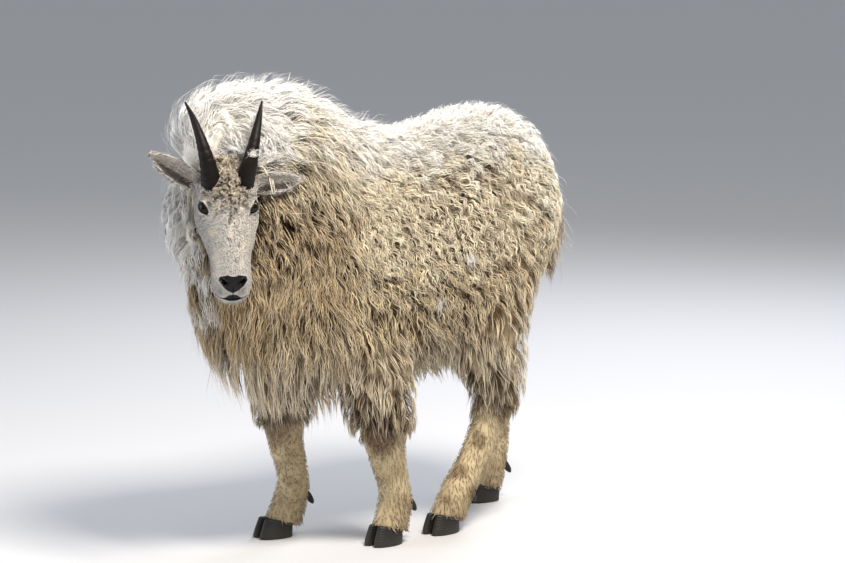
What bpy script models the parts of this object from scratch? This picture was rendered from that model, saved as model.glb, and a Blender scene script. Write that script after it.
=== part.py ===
"""A mountain goat at life size, standing in mid stride with its head turned to its left.

Metres, +Z up. The goat faces -Y, its left side is +X, and its soles stand on Z = 0.
Each part of the body is a form: a line of sections read smoothly through a few rows of
sizes. Each row gives the flesh and the depth of the coat over it. The solid of a part is
a core under the coat, and tapered locks that grow out of it to the coat's tips.
"""

import math
import random

import bmesh
import bpy
import numpy as np
from mathutils import Matrix, Vector
from mathutils.bvhtree import BVHTree

GAP = 0.0003
HEAD_GAP = 0.0012
MANE_WIDENING = 0.14
CORE_SHARE = 0.45
SLEEVE_SHARE = 1.15
ROOT_DEPTH = 0.012
HAIR_SEED = 11
CLUMP_THICKNESS = 0.030
TRIANGLE_SHARE = 0.43
LEG_TRIANGLE_SHARE = 0.42
HEAD_TRIANGLE_SHARE = 0.50

# The trunk from chest to rump: y, top and bottom of the flesh, its half width, then the
# coat's depth above, below and at the sides, and how much narrower the top is.
TRUNK = (
    (-0.478, 0.625, 0.590, 0.012, 0.015, 0.020, 0.020, 0.00),
    (-0.458, 0.660, 0.560, 0.040, 0.035, 0.045, 0.040, 0.00),
    (-0.415, 0.770, 0.500, 0.080, 0.050, 0.080, 0.055, 0.10),
    (-0.350, 0.870, 0.450, 0.120, 0.060, 0.100, 0.055, 0.15),
    (-0.260, 0.925, 0.425, 0.143, 0.085, 0.100, 0.055, 0.22),
    (-0.170, 0.920, 0.415, 0.155, 0.085, 0.080, 0.050, 0.30),
    (-0.060, 0.890, 0.415, 0.162, 0.060, 0.060, 0.045, 0.22),
    (0.060, 0.878, 0.420, 0.172, 0.055, 0.065, 0.040, 0.15),
    (0.180, 0.895, 0.435, 0.175, 0.062, 0.055, 0.040, 0.12),
    (0.290, 0.905, 0.480, 0.162, 0.070, 0.040, 0.040, 0.12),
    (0.385, 0.878, 0.555, 0.132, 0.070, 0.040, 0.040, 0.08),
    (0.445, 0.800, 0.640, 0.075, 0.050, 0.040, 0.040, 0.05),
    (0.470, 0.750, 0.690, 0.022, 0.030, 0.030, 0.030, 0.00),
)

# The neck from between the shoulders to the head: x, y, z, half width, half height, coat.
NECK = (
    (0.000, -0.220, 0.770, 0.100, 0.172, 0.060),
    (0.005, -0.310, 0.800, 0.098, 0.175, 0.078),
    (0.014, -0.390, 0.830, 0.086, 0.160, 0.085),
    (0.034, -0.440, 0.855, 0.064, 0.140, 0.078),
    (0.056, -0.478, 0.866, 0.056, 0.122, 0.062),
    (0.078, -0.506, 0.848, 0.040, 0.068, 0.012),
)

# Each leg from the body down to the foot: x, y, z, half width, half depth, coat.
FORE_LEFT = (
    (0.092, -0.165, 0.620, 0.056, 0.080, 0.020),
    (0.120, -0.145, 0.520, 0.058, 0.078, 0.030),
    (0.130, -0.122, 0.430, 0.046, 0.056, 0.045),
    (0.130, -0.102, 0.340, 0.036, 0.042, 0.050),
    (0.127, -0.082, 0.255, 0.032, 0.038, 0.030),
    (0.125, -0.072, 0.205, 0.033, 0.037, 0.010),
    (0.122, -0.052, 0.140, 0.026, 0.031, 0.008),
    (0.120, -0.046, 0.085, 0.031, 0.034, 0.008),
    (0.119, -0.078, -0.020, 0.033, 0.036, 0.004),
)
FORE_RIGHT = (
    (-0.092, -0.185, 0.620, 0.056, 0.080, 0.020),
    (-0.118, -0.180, 0.520, 0.058, 0.078, 0.030),
    (-0.122, -0.180, 0.430, 0.046, 0.056, 0.045),
    (-0.115, -0.183, 0.340, 0.036, 0.042, 0.045),
    (-0.108, -0.184, 0.255, 0.032, 0.036, 0.022),
    (-0.105, -0.180, 0.205, 0.032, 0.035, 0.008),
    (-0.102, -0.165, 0.140, 0.026, 0.030, 0.008),
    (-0.100, -0.172, 0.085, 0.031, 0.034, 0.008),
    (-0.099, -0.222, -0.020, 0.033, 0.036, 0.004),
)
HIND_LEFT = (
    (0.080, 0.270, 0.750, 0.066, 0.115, 0.020),
    (0.105, 0.250, 0.640, 0.068, 0.118, 0.030),
    (0.122, 0.220, 0.530, 0.060, 0.090, 0.040),
    (0.126, 0.222, 0.440, 0.048, 0.062, 0.045),
    (0.125, 0.245, 0.365, 0.038, 0.044, 0.035),
    (0.122, 0.262, 0.310, 0.034, 0.042, 0.016),
    (0.118, 0.225, 0.220, 0.027, 0.032, 0.010),
    (0.115, 0.180, 0.140, 0.027, 0.031, 0.008),
    (0.113, 0.140, 0.080, 0.031, 0.034, 0.008),
    (0.112, 0.090, -0.020, 0.033, 0.036, 0.004),
)
HIND_RIGHT = (
    (-0.080, 0.290, 0.750, 0.066, 0.115, 0.020),
    (-0.105, 0.285, 0.640, 0.068, 0.112, 0.030),
    (-0.118, 0.290, 0.530, 0.058, 0.085, 0.040),
    (-0.115, 0.335, 0.440, 0.046, 0.060, 0.040),
    (-0.108, 0.400, 0.365, 0.037, 0.044, 0.030),
    (-0.105, 0.440, 0.310, 0.034, 0.042, 0.014),
    (-0.100, 0.448, 0.220, 0.027, 0.032, 0.010),
    (-0.096, 0.440, 0.140, 0.027, 0.031, 0.008),
    (-0.093, 0.425, 0.080, 0.031, 0.034, 0.008),
    (-0.092, 0.385, -0.020, 0.033, 0.036, 0.004),
)

# The head, in its own axes from the poll: b along the face to the nose, half width, then
# the top and the underside of the section, and how much wider the top is.
HEAD_AT = Vector((0.108, -0.502, 0.865))
HEAD_YAW = math.radians(60.5)
HEAD_PITCH = math.radians(60)
FACE = (
    (-0.040, 0.034, 0.000, -0.070, 0.00, 0.012),
    (-0.012, 0.050, 0.024, -0.092, 0.05, 0.012),
    (0.030, 0.056, 0.034, -0.104, 0.10, 0.010),
    (0.070, 0.060, 0.036, -0.104, 0.12, 0.007),
    (0.100, 0.060, 0.033, -0.098, 0.12, 0.006),
    (0.135, 0.051, 0.028, -0.086, 0.10, 0.004),
    (0.175, 0.041, 0.023, -0.070, 0.06, 0.003),
    (0.210, 0.039, 0.019, -0.061, 0.00, 0.002),
    (0.240, 0.039, 0.011, -0.059, 0.00, 0.002),
    (0.258, 0.036, -0.006, -0.060, 0.00, 0.001),
    (0.270, 0.028, -0.022, -0.058, 0.00, 0.001),
    (0.277, 0.014, -0.034, -0.052, 0.00, 0.001),
)

# The line of each horn and ear in the same axes: a, b, c and the half width.
HORN = (
    (0.036, 0.040, 0.010, 0.0190),
    (0.037, 0.030, 0.040, 0.0185),
    (0.045, 0.005, 0.072, 0.0150),
    (0.057, -0.040, 0.088, 0.0110),
    (0.070, -0.092, 0.084, 0.0070),
    (0.082, -0.140, 0.062, 0.0020),
)
EAR_LEFT = (
    (0.045, 0.020, -0.012, 0.014),
    (0.072, 0.022, -0.010, 0.022),
    (0.102, 0.021, -0.006, 0.025),
    (0.136, 0.017, -0.007, 0.019),
    (0.166, 0.011, -0.012, 0.004),
)
EAR_RIGHT = (
    (0.045, 0.020, -0.012, 0.014),
    (0.070, 0.010, -0.006, 0.022),
    (0.100, -0.005, 0.004, 0.025),
    (0.130, -0.025, 0.010, 0.019),
    (0.158, -0.045, 0.012, 0.004),
)
EYE_AT = (0.0470, 0.083, 0.009)
EYE_RADIUS = 0.0165

# Locks of the forehead and the beard: place along the face, and turn round it in degrees.
FOREHEAD_LOCKS = ((0.6, 60), (0.6, 90), (0.6, 120), (1.3, 72), (1.3, 108), (2.2, 90), (2.9, 72), (2.9, 108))
BEARD_LOCKS = ((4.3, 262), (4.3, 278), (5.0, 256), (5.0, 284), (5.7, 270))
# Length, width and thickness, and for the forehead how far a lock reaches through the coat.
FOREHEAD_LOCK_SIZE = (0.052, 0.036, 0.013, 0.9)
BEARD_LOCK_SIZE = (0.075, 0.026, 0.012)
MOUTH_LEVEL = -0.036

# The tail, swung a little to its left: x, y, z, half width, half depth, coat.
TAIL = (
    (0.008, 0.415, 0.805, 0.018, 0.016, 0.016),
    (0.024, 0.455, 0.785, 0.018, 0.015, 0.026),
    (0.038, 0.478, 0.735, 0.016, 0.012, 0.030),
    (0.046, 0.482, 0.665, 0.011, 0.009, 0.028),
    (0.052, 0.478, 0.595, 0.004, 0.004, 0.012),
)

# Half of a hoof seen from below: outward from the cleft, then forward from its middle.
TOE = (
    (0.0035, -0.030),
    (0.0035, 0.000),
    (0.0035, 0.024),
    (0.0080, 0.041),
    (0.0160, 0.044),
    (0.0265, 0.033),
    (0.0335, 0.012),
    (0.0340, -0.012),
    (0.0280, -0.031),
    (0.0150, -0.037),
)
CORONET_HEIGHT = 0.040
CORONET_SLOPE = 0.20

# Each leg: name, rows, place of the knee or hock, middle of the hoof, turn of the toes.
LEGS = (
    ("fore_left", FORE_LEFT, 4.0, (0.120, -0.078), math.radians(8)),
    ("fore_right", FORE_RIGHT, 4.0, (-0.100, -0.222), math.radians(-4)),
    ("hind_left", HIND_LEFT, 4.6, (0.112, 0.098), math.radians(10)),
    ("hind_right", HIND_RIGHT, 4.6, (-0.092, 0.398), math.radians(-6)),
)

# The plane that parts the neck from the torso: a point and its normal.
NECK_PLANE = ((0.0, -0.270, 1.050), (0.0, -0.907, 0.420))

# Locks: the distance between rows along a form, then between the locks of a row.
TRUNK_SPACING = (0.094, 0.122)
CREST_SPACING = (0.070, 0.2)
NECK_SPACING = (0.062, 0.078)
LEG_SPACING = (0.098, 0.076)

MATERIALS = {
    "coat": ("coat", (0.80, 0.74, 0.60), 0.9),
    "horn": ("horn", (0.035, 0.028, 0.024), 0.45),
    "toe": ("hoof", (0.03, 0.025, 0.022), 0.5),
    "dewclaw": ("hoof", (0.03, 0.025, 0.022), 0.5),
    "eye": ("eye", (0.01, 0.008, 0.006), 0.1),
}


def row_at(rows, u):
    """The row at place u, read on a smooth curve through the rows."""
    last = len(rows) - 1
    first = int(min(max(u, 0), last - 1e-6))
    t = u - first
    a, b, c, d = (np.array(rows[min(max(first + k, 0), last)], float) for k in (-1, 0, 1, 2))
    return 0.5 * (2 * b + (c - a) * t + (2 * a - 5 * b + 4 * c - d) * t**2 + (3 * b - a - 3 * c + d) * t**3)


def trunk_form(u, share, extra=0.0):
    """The trunk's section at u: centre, side, up, half width, half height, narrowing."""
    y, top, bottom, half, above, below, beside, narrowing = row_at(TRUNK, u)
    top, bottom = top + share * above + extra, bottom - share * below - extra
    centre = np.array((0, y, (top + bottom) / 2))
    side, up = np.array((1.0, 0, 0)), np.array((0, 0, 1.0))
    return centre, side, up, half + share * beside + extra, (top - bottom) / 2, narrowing


def limb_form(rows, narrowing=0.0):
    """The form of a limb: sections square to the line through its rows."""
    last = len(rows) - 1

    def form(u, share, extra=0.0):
        x, y, z, half_side, half_up, coat = row_at(rows, u)
        ahead, behind = row_at(rows, min(u + 0.2, last)), row_at(rows, max(u - 0.2, 0))
        tangent = ahead[:3] - behind[:3]
        tangent /= np.linalg.norm(tangent)
        side = np.array((1.0, 0, 0)) - tangent * tangent[0]
        side /= np.linalg.norm(side)
        grow = share * coat + extra
        return np.array((x, y, z)), side, np.cross(tangent, side), half_side + grow, half_up + grow, narrowing

    return form


def head_axes():
    """The head's own axes: to its left, along the face to the nose, out of the forehead."""
    level = Vector((math.sin(HEAD_YAW), -math.cos(HEAD_YAW), 0))
    nose = level * math.cos(HEAD_PITCH) - Vector((0, 0, 1)) * math.sin(HEAD_PITCH)
    brow = level * math.sin(HEAD_PITCH) + Vector((0, 0, 1)) * math.cos(HEAD_PITCH)
    return brow.cross(nose), nose, brow


def head_point(a, b, c):
    left, nose, brow = head_axes()
    return HEAD_AT + left * a + nose * b + brow * c


def face_form(u, share, extra=0.0):
    b, half, top, bottom, widening, coat = row_at(FACE, u)
    left, nose, brow = (np.array(axis) for axis in head_axes())
    centre = np.array(head_point(0, b, (top + bottom) / 2))
    grow = share * coat + extra
    return centre, left, brow, half + grow, (top - bottom) / 2 + grow, -widening


def head_line_form(rows, sign, stretch=1.0, facing=(0, 1, 0)):
    """The form of a horn or an ear, whose rows give places in the head's own axes."""
    left, nose, brow = (np.array(axis) for axis in head_axes())
    flat = left * facing[0] + nose * facing[1] + brow * facing[2]
    last = len(rows) - 1

    def place(u):
        a, b, c = row_at(rows, u)[:3]
        return np.array(head_point(sign * a, b, c))

    def form(u, share, extra=0.0):
        tangent = place(min(u + 0.2, last)) - place(max(u - 0.2, 0))
        tangent /= np.linalg.norm(tangent)
        side = flat - tangent * np.dot(flat, tangent)
        side /= np.linalg.norm(side)
        half = row_at(rows, u)[3]
        return place(u), side, np.cross(tangent, side), half + extra, half * stretch + extra, 0.0

    return form


def on_form(form, u, turn, share, extra=0.0):
    """The point of a form at place u along it and at an angle round it."""
    centre, side, up, half_side, half_up, narrowing = form(u, share, extra)
    across = half_side * math.cos(turn) * (1 - narrowing * math.sin(turn))
    return centre + side * across + up * (half_up * math.sin(turn))


def mesh_object(name, points, faces):
    mesh = bpy.data.meshes.new(name)
    mesh.from_pydata([tuple(p) for p in points], [], faces)
    shape = bmesh.new()
    shape.from_mesh(mesh)
    bmesh.ops.triangulate(shape, faces=shape.faces[:])
    bmesh.ops.recalc_face_normals(shape, faces=shape.faces[:])
    shape.to_mesh(mesh)
    shape.free()
    made = bpy.data.objects.new(name, mesh)
    bpy.context.scene.collection.objects.link(made)
    return made


def loft(name, rings):
    """A closed mesh through the rings. An end that is one point closes as a tip."""
    sides = len(rings[0])
    points, starts = [], []
    for ring in rings:
        starts.append(len(points))
        points.extend(ring)
    faces = []
    for i in range(len(rings) - 1):
        for j in range(sides):
            k = (j + 1) % sides
            a, b = starts[i], starts[i + 1]
            if len(rings[i + 1]) == 1:
                faces.append((a + j, a + k, b))
            else:
                faces.append((a + j, a + k, b + k, b + j))
    for ring, start in ((rings[0], starts[0]), (rings[-1], starts[-1])):
        if len(ring) > 1:
            points.append(np.mean(ring, axis=0))
            faces.extend((start + j, start + (j + 1) % sides, len(points) - 1) for j in range(sides))
    return mesh_object(name, points, faces)


def form_rings(form, share, extra, low, high, count, sides):
    """Rings of a form from place low to place high. share can be a function of the place."""
    turns = [2 * math.pi * j / sides for j in range(sides)]
    rings = []
    for u in np.linspace(low, high, count):
        depth = share(u) if callable(share) else share
        rings.append([on_form(form, u, turn, depth, extra) for turn in turns])
    return rings


def grown(rings, extra):
    """The same rings a little larger, with the first and the last one moved outward."""
    middles = [np.mean(ring, axis=0) for ring in rings]
    made = []
    for ring, middle in zip(rings, middles):
        made.append([p + (p - middle) / max(np.linalg.norm(p - middle), 1e-9) * extra for p in ring])
    for end, near in ((0, 1), (-1, -2)):
        out = middles[end] - middles[near]
        made[end] = [p + out / np.linalg.norm(out) * extra for p in made[end]]
    return made


def ellipsoid(name, centre, axes, radii, segments=12, rows=7):
    """A ball stretched along three axes."""
    axes = [np.array(axis, float) / np.linalg.norm(axis) for axis in axes]
    rings = []
    for i in range(rows):
        height = math.pi * (i + 0.5) / rows
        turns = [2 * math.pi * j / segments for j in range(segments)]
        rings.append(
            [
                np.array(centre)
                + axes[0] * (radii[0] * math.sin(height) * math.cos(turn))
                + axes[1] * (radii[1] * math.sin(height) * math.sin(turn))
                + axes[2] * (radii[2] * math.cos(height))
                for turn in turns
            ]
        )
    return loft(name, rings)


def slab(name, point, normal, size=3.0):
    """A large block whose one face passes through the point, on the side of the normal."""
    normal = Vector(normal).normalized()
    side = normal.orthogonal().normalized() * size / 2
    up = normal.cross(side)
    rings = []
    for far in (0, size):
        centre = Vector(point) + normal * far
        rings.append([np.array(centre + side * a + up * b) for a, b in ((1, 1), (-1, 1), (-1, -1), (1, -1))])
    return loft(name, rings)


def combine(target, others, operation, solver="MANIFOLD"):
    """One Boolean of the target with all the others, which are then removed."""
    group = bpy.data.collections.new("group")
    bpy.context.scene.collection.children.link(group)
    for other in others:
        bpy.context.scene.collection.objects.unlink(other)
        group.objects.link(other)
    change = target.modifiers.new("combine", "BOOLEAN")
    change.operation = operation
    change.solver = solver
    change.operand_type = "COLLECTION"
    change.collection = group
    bpy.context.view_layer.update()
    result = target.evaluated_get(bpy.context.evaluated_depsgraph_get())
    mesh = bpy.data.meshes.new_from_object(result)
    target.modifiers.clear()
    target.data = mesh
    for other in others:
        bpy.data.objects.remove(other)
    bpy.data.collections.remove(group)
    keep_largest(target)
    return target


def keep_largest(target):
    """Keeps the closed surface of the greatest volume, and drops hollows and scraps."""
    shape = bmesh.new()
    shape.from_mesh(target.data)
    bmesh.ops.triangulate(shape, faces=shape.faces[:])
    shape.faces.ensure_lookup_table()
    seen, best, best_volume = set(), None, 0.0
    for start in shape.faces:
        if start in seen:
            continue
        island, stack = [], [start]
        seen.add(start)
        while stack:
            face = stack.pop()
            island.append(face)
            for edge in face.edges:
                for other in edge.link_faces:
                    if other not in seen:
                        seen.add(other)
                        stack.append(other)
        volume = sum(f.verts[0].co.dot(f.verts[1].co.cross(f.verts[2].co)) for f in island) / 6
        if volume > best_volume:
            best, best_volume = set(island), volume
    bmesh.ops.delete(shape, geom=[f for f in shape.faces if f not in best], context="FACES")
    shape.to_mesh(target.data)
    shape.free()


def copy_of(source, name):
    made = bpy.data.objects.new(name, source.data.copy())
    bpy.context.scene.collection.objects.link(made)
    return made


def sleeve_rings(rows, split):
    """The room that an upper leg takes, coat and all: close to its core at the top."""

    def share(u):
        rise = min(max((u - 1.5) / 1.0, 0), 1)
        return CORE_SHARE + (SLEEVE_SHARE - CORE_SHARE) * rise

    last = len(rows) - 1
    return form_rings(limb_form(rows), share, 0.0015, 0, min(split + 1.6, last), 12, 12)


def leg(name, rows, split, foot, toe_turn):
    """The two lengths of a leg, its two toes and its two dewclaws."""
    kind, side = name.split("_")
    form = limb_form(rows)
    last = len(rows) - 1
    upper = loft(f"upper_leg_{name}", form_rings(form, CORE_SHARE, 0, 0, split - 0.004, 7, 12))

    def shin_share(u):
        return CORE_SHARE + (1 - CORE_SHARE) * min(1.0, (u - split) / 1.2)

    shin = form_rings(form, shin_share, 0, split + 0.004, last, 10, 12)
    lower = loft(f"lower_leg_{name}", shin)
    foot_x, foot_y = foot
    forward = Vector((math.sin(toe_turn), -math.cos(toe_turn), 0))
    outward = Vector((math.cos(toe_turn), math.sin(toe_turn), 0))
    level = Vector((foot_x, foot_y, CORONET_HEIGHT))
    crown = (Vector((0, 0, 1)) - forward * CORONET_SLOPE).normalized()
    cuts = [slab("cut", level + crown * GAP, -crown)]
    claws = []
    ends = ("outer", "inner") if side == "left" else ("inner", "outer")
    for sign, end in zip((1, -1), ends):
        rings = []
        for height, swell, back in ((0.0, 1.0, 0.0), (0.008, 1.03, 0.001), (None, 0.88, 0.008)):
            ring = []
            for a, b in TOE:
                a, b = 0.0035 + (a - 0.0035) * swell, b * swell - back
                place = Vector((foot_x, foot_y, 0)) + outward * sign * a + forward * b
                place.z = CORONET_HEIGHT + CORONET_SLOPE * b if height is None else height
                ring.append(np.array(place))
            rings.append(ring)
        loft(f"toe_{name}_{end}", rings)
        centre, _, _, half_side, half_up, _ = form(last - 1, 1.0)
        base = Vector(centre) - forward * (half_up - 0.010) + outward * sign * 0.017 + Vector((0, 0, 0.006))
        tip = base - forward * 0.016 + outward * sign * 0.003 - Vector((0, 0, 0.024))
        for grow, claw_name in ((GAP, "cut"), (0.0, f"dewclaw_{name}_{end}")):
            claw = claw_rings(base, tip, 0.0095, grow)
            made = loft(claw_name, claw)
            if grow:
                claws.append(made)
    combine(lower, cuts + claws, "DIFFERENCE")
    return upper, shin


def claw_rings(base, tip, radius, grow):
    along = (tip - base).normalized()
    side = along.cross(Vector((0, 0, 1))).normalized()
    up = side.cross(along)
    rings = []
    for t, size in ((0.0, 1.0), (0.6, 0.85), (1.0, 0.25)):
        centre = base.lerp(tip, t) + along * (grow if t == 1.0 else -grow if t == 0.0 else 0.0)
        reach = radius * size + grow
        turns = [2 * math.pi * j / 6 for j in range(6)]
        ring = [centre + side * reach * math.cos(w) + up * reach * math.sin(w) for w in turns]
        rings.append([np.array(point) for point in ring])
    return rings


def ear_rings(rows, sign, extra=0.0):
    """Sections of a cupped ear: a curved back, and a hollow front inside its rim."""
    left, nose, brow = (np.array(axis) for axis in head_axes())
    facing = nose * 0.62 + brow * 0.78
    form = head_line_form(rows, sign, 1.0, (0, 0.78, -0.62))
    rings = []
    for u in np.linspace(0, len(rows) - 1, 8):
        centre, side, _, half, _, _ = form(u, 1.0)
        half += extra
        deep = half * 0.62
        hollow = deep * min(1.0, 0.25 + 0.5 * u)
        rim = 0.0016 + extra
        ring = []
        for s in (-1.0, -0.6, 0.0, 0.6, 1.0):
            ring.append(centre + side * half * s - facing * (deep * (1 - s * s) + rim))
        for s in (0.92, 0.5, 0.0, -0.5, -0.92):
            inside = -0.003 * (1 - s * s) if extra else (hollow - 0.004) * (1 - s * s)
            ring.append(centre + side * half * s - facing * (inside - rim))
        rings.append(ring)
    if extra:
        back = rings[0][0] - rings[1][0]
        rings[0] = [point + back / np.linalg.norm(back) * extra for point in rings[0]]
    return rings


def mouth_rings():
    """A thin band that follows the line of the mouth round the muzzle, for the cut."""
    half, other = [], []
    for u in (6.4, 7.0, 7.6, 8.2, 8.8, 9.4, 9.9, 10.35):
        b, _, top, bottom, _, _ = row_at(FACE, u)
        level = MOUTH_LEVEL + 0.006 * min(max((b - 0.25) / 0.025, 0), 1)
        turn = math.asin((level - (top + bottom) / 2) / ((top - bottom) / 2))
        half.append(on_form(face_form, u, turn, 1.0))
        other.insert(0, on_form(face_form, u, math.pi - turn, 1.0))
    line = half + other
    left, nose, brow = (np.array(axis) for axis in head_axes())
    heart = np.array(head_point(0, 0.215, -0.034))
    rings = []
    for k, point in enumerate(line):
        out = point - heart
        out -= brow * np.dot(out, brow)
        out /= np.linalg.norm(out)
        tall = 0.0011 * math.sin(math.pi * (k + 1.2) / (len(line) + 1.4)) + 0.0003
        rings.append([point - out * 0.006, point + brow * tall, point + out * 0.006, point - brow * tall])
    return rings


def build_head():
    """The head with its lids, mouth, nostrils and lips, and its horns, ears and eyes."""
    left, nose, brow = head_axes()
    head = loft("head", form_rings(face_form, 1.0, 0, 0, len(FACE) - 1, 17, 16))
    added, cuts, horn_lines = [], [], []
    for side, sign in (("left", 1), ("right", -1)):
        eye = head_point(sign * EYE_AT[0], EYE_AT[1], EYE_AT[2])
        outward = (left * (sign * 0.66) + nose * 0.20 + brow * 0.72).normalized()
        along = (nose * 0.75 - left * (sign * 0.45)).normalized()
        along = (along - outward * along.dot(outward)).normalized()
        across = outward.cross(along)
        frame = (along, across, outward)
        ellipsoid(f"eye_{side}", eye, frame, (EYE_RADIUS,) * 3, 12, 7)
        added.append(ellipsoid("lid", eye - outward * 0.001, frame, (0.0225, 0.0195, 0.0195), 12, 7))
        brow_ridge = eye - outward * 0.010 + brow * 0.010 - nose * 0.006
        added.append(ellipsoid("ridge", brow_ridge, frame, (0.024, 0.018, 0.016), 8, 5))
        cuts.append(ellipsoid("cut", eye, frame, (EYE_RADIUS + GAP,) * 3, 12, 7))
        cuts.append(ellipsoid("cut", eye + outward * 0.016, frame, (0.0145, 0.0105, 0.014), 12, 5))
        slit = head_point(sign * 0.0195, 0.250, -0.0015)
        slant = (left * sign * 0.75 + brow * 0.55 - nose * 0.15).normalized()
        thin = slant.cross(nose).normalized()
        cuts.append(ellipsoid("cut", slit, (slant, thin, slant.cross(thin)), (0.0095, 0.0034, 0.009), 10, 5))
        lip = head_point(sign * 0.016, 0.240, -0.030)
        added.append(ellipsoid("lip", lip, (left, nose, brow), (0.0265, 0.033, 0.0165), 10, 5))
        horn = head_line_form(HORN, sign, 1.15, (1, 0, 0))
        rings = form_rings(horn, 1.0, 0, 0, len(HORN) - 1, 20, 8)
        for k in range(3, 14):
            middle = np.mean(rings[k], axis=0)
            swell = 1 + (0.055 if k % 2 else -0.015)
            rings[k] = [middle + (point - middle) * swell for point in rings[k]]
        loft(f"horn_{side}", rings)
        cuts.append(loft("cut", grown(rings[:9], 2 * GAP)))
        horn_lines.append(rings)
        rows = EAR_LEFT if side == "left" else EAR_RIGHT
        cuts.append(loft("cut", ear_rings(rows, sign, GAP * 2)))
        loft(f"ear_{side}", ear_rings(rows, sign))
    chin = head_point(0, 0.247, -0.057)
    added.append(ellipsoid("chin", chin, (left, nose, brow), (0.024, 0.028, 0.013), 10, 5))
    added += [loft("lock", rings) for rings in head_locks()]
    combine(head, added, "UNION")
    thin_out(head, HEAD_TRIANGLE_SHARE)
    cuts.append(loft("cut", mouth_rings()))
    combine(head, cuts, "DIFFERENCE")
    return head, horn_lines


def head_room():
    """The room that the head takes, for the cut in the neck."""
    rings = form_rings(face_form, 1.0, HEAD_GAP, 0, len(FACE) - 1, 17, 16)
    nose = np.array(head_axes()[1])
    rings[0] = [point - nose * HEAD_GAP for point in rings[0]]
    return loft("cut", rings)


def surface_at(form, last, u, turn):
    """A place on the core of a form: point, directions along and round it, and outward."""
    low, high = max(u - 0.05, 0), min(u + 0.05, last)
    point = on_form(form, u, turn, CORE_SHARE)
    along = (on_form(form, high, turn, CORE_SHARE) - on_form(form, low, turn, CORE_SHARE)) / (high - low)
    ahead, behind = (on_form(form, u, turn + step, CORE_SHARE) for step in (0.04, -0.04))
    around = (ahead - behind) / 0.08
    out = np.cross(along, around)
    out /= max(np.linalg.norm(out), 1e-9)
    if np.dot(out, point - form(u, CORE_SHARE)[0]) < 0:
        out = -out
    return point, along, around, out


def lock_rings(form, last, u, turn, flow, length, width, thick, reach, dice, steps=4):
    """Rings of one flat lock that leaves the core, bends along the flow and tapers.

    A lock is flat below and has a low ridge above. A thick one is a rounded clump.

    flow gives the way the hair hangs. On top of the body it is pressed along the surface,
    and under the body the lock hangs free down to the coat's depth.
    """
    middles, outs = [], []
    phase, sway = dice.uniform(0, 6.3), dice.uniform(0.003, 0.007)
    rises = np.interp(np.linspace(0, 1, steps + 1), (0, 0.3, 0.6, 0.85, 1), (0, 0.55, 0.95, 1.0, 0.93))
    for rise in rises:
        point, along, around, out = surface_at(form, last, u, turn)
        depth = np.linalg.norm(on_form(form, u, turn, 1.0) - point)
        middles.append(point + out * (-ROOT_DEPTH + (ROOT_DEPTH + depth * reach) * rise))
        outs.append(out)
        way = np.array(flow) / np.linalg.norm(flow)
        press = np.dot(way, out)
        way = way - out * press
        if press < 0:
            way /= max(np.linalg.norm(way), 0.2)
        step = way * length / steps
        move = np.linalg.lstsq(np.array((along, around)).T, step, rcond=None)[0]
        u, turn = min(max(u + move[0], 0.02), last - 0.02), turn + move[1]
    ways = np.gradient(np.array(middles), axis=0)
    rings = []
    sizes = np.interp(np.linspace(0, 1, steps + 1)[:-1], (0, 0.3, 0.7, 1), (0.7, 1.0, 0.82, 0.25))
    for k, size in enumerate(sizes):
        way = ways[k] / max(np.linalg.norm(ways[k]), 1e-9)
        side = np.cross(way, outs[k])
        side /= max(np.linalg.norm(side), 1e-9)
        flat = np.cross(side, way)
        middle = middles[k] + side * (sway * math.sin(phase + 2.0 * k) if k else 0)
        across, over = side * width * size / 2, flat * thick * size / 2
        if thick > CLUMP_THICKNESS:
            rings.append([middle + across, middle + over, middle - across, middle - over])
        else:
            rings.append([middle + across - over * 0.4, middle + over * 1.1, middle - across - over * 0.4])
    rings.append([middles[-1]])
    return rings


def tree_of(made):
    return BVHTree.FromPolygons(
        [v.co[:] for v in made.data.vertices], [tuple(f.vertices) for f in made.data.polygons]
    )


def inside(tree, point, margin):
    """Whether the point lies inside the closed mesh by more than the margin."""
    near, out, _, _ = tree.find_nearest(Vector(point))
    return (Vector(point) - near).dot(out) < -margin


def coat_locks(form, last, spacing, sizes, flow, skip, seed, low=0.0, high=None, turns=(0, 360)):
    """Locks in staggered rows over a form, as lists of rings.

    spacing is the distance between rows and between the locks of a row. sizes(u, turn)
    gives length, width, thickness and reach, or None where there is no lock.
    """
    dice = random.Random(HAIR_SEED + seed)
    high = last if high is None else high
    made, u, row = [], low, 0
    while u <= high:
        _, along, around, _ = surface_at(form, last, u, 0.0)
        ring = [on_form(form, u, math.radians(a), CORE_SHARE) for a in range(turns[0], turns[1] + 1, 15)]
        way = sum(np.linalg.norm(b - a) for a, b in zip(ring, ring[1:]))
        count = max(1, round(way / spacing[1]))
        for k in range(count):
            share = (k + (0.5 if row % 2 else 0.0) + dice.uniform(-0.2, 0.2)) / count
            turn = math.radians(turns[0] + (turns[1] - turns[0]) * share)
            jitter = dice.uniform(-0.25, 0.25) * spacing[0] / np.linalg.norm(along)
            place = min(max(u + jitter, 0.05), last - 0.05)
            point, _, _, out = surface_at(form, last, place, turn)
            size = sizes(place, turn, point)
            if size is None or any(inside(tree, point, margin) for tree, margin in skip):
                continue
            length, width, thick, reach = (value * dice.uniform(0.85, 1.18) for value in size)
            way = np.array(flow(point, out), float)
            way += np.array([dice.uniform(-1, 1) for _ in range(3)]) * 0.16
            steps = 4 if length > 0.11 else 3
            size = (length, width, thick, min(reach, 1.05))
            made.append(lock_rings(form, last, place, turn, way, *size, dice, steps))
        u += spacing[0] / np.linalg.norm(along)
        row += 1
    return made


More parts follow.
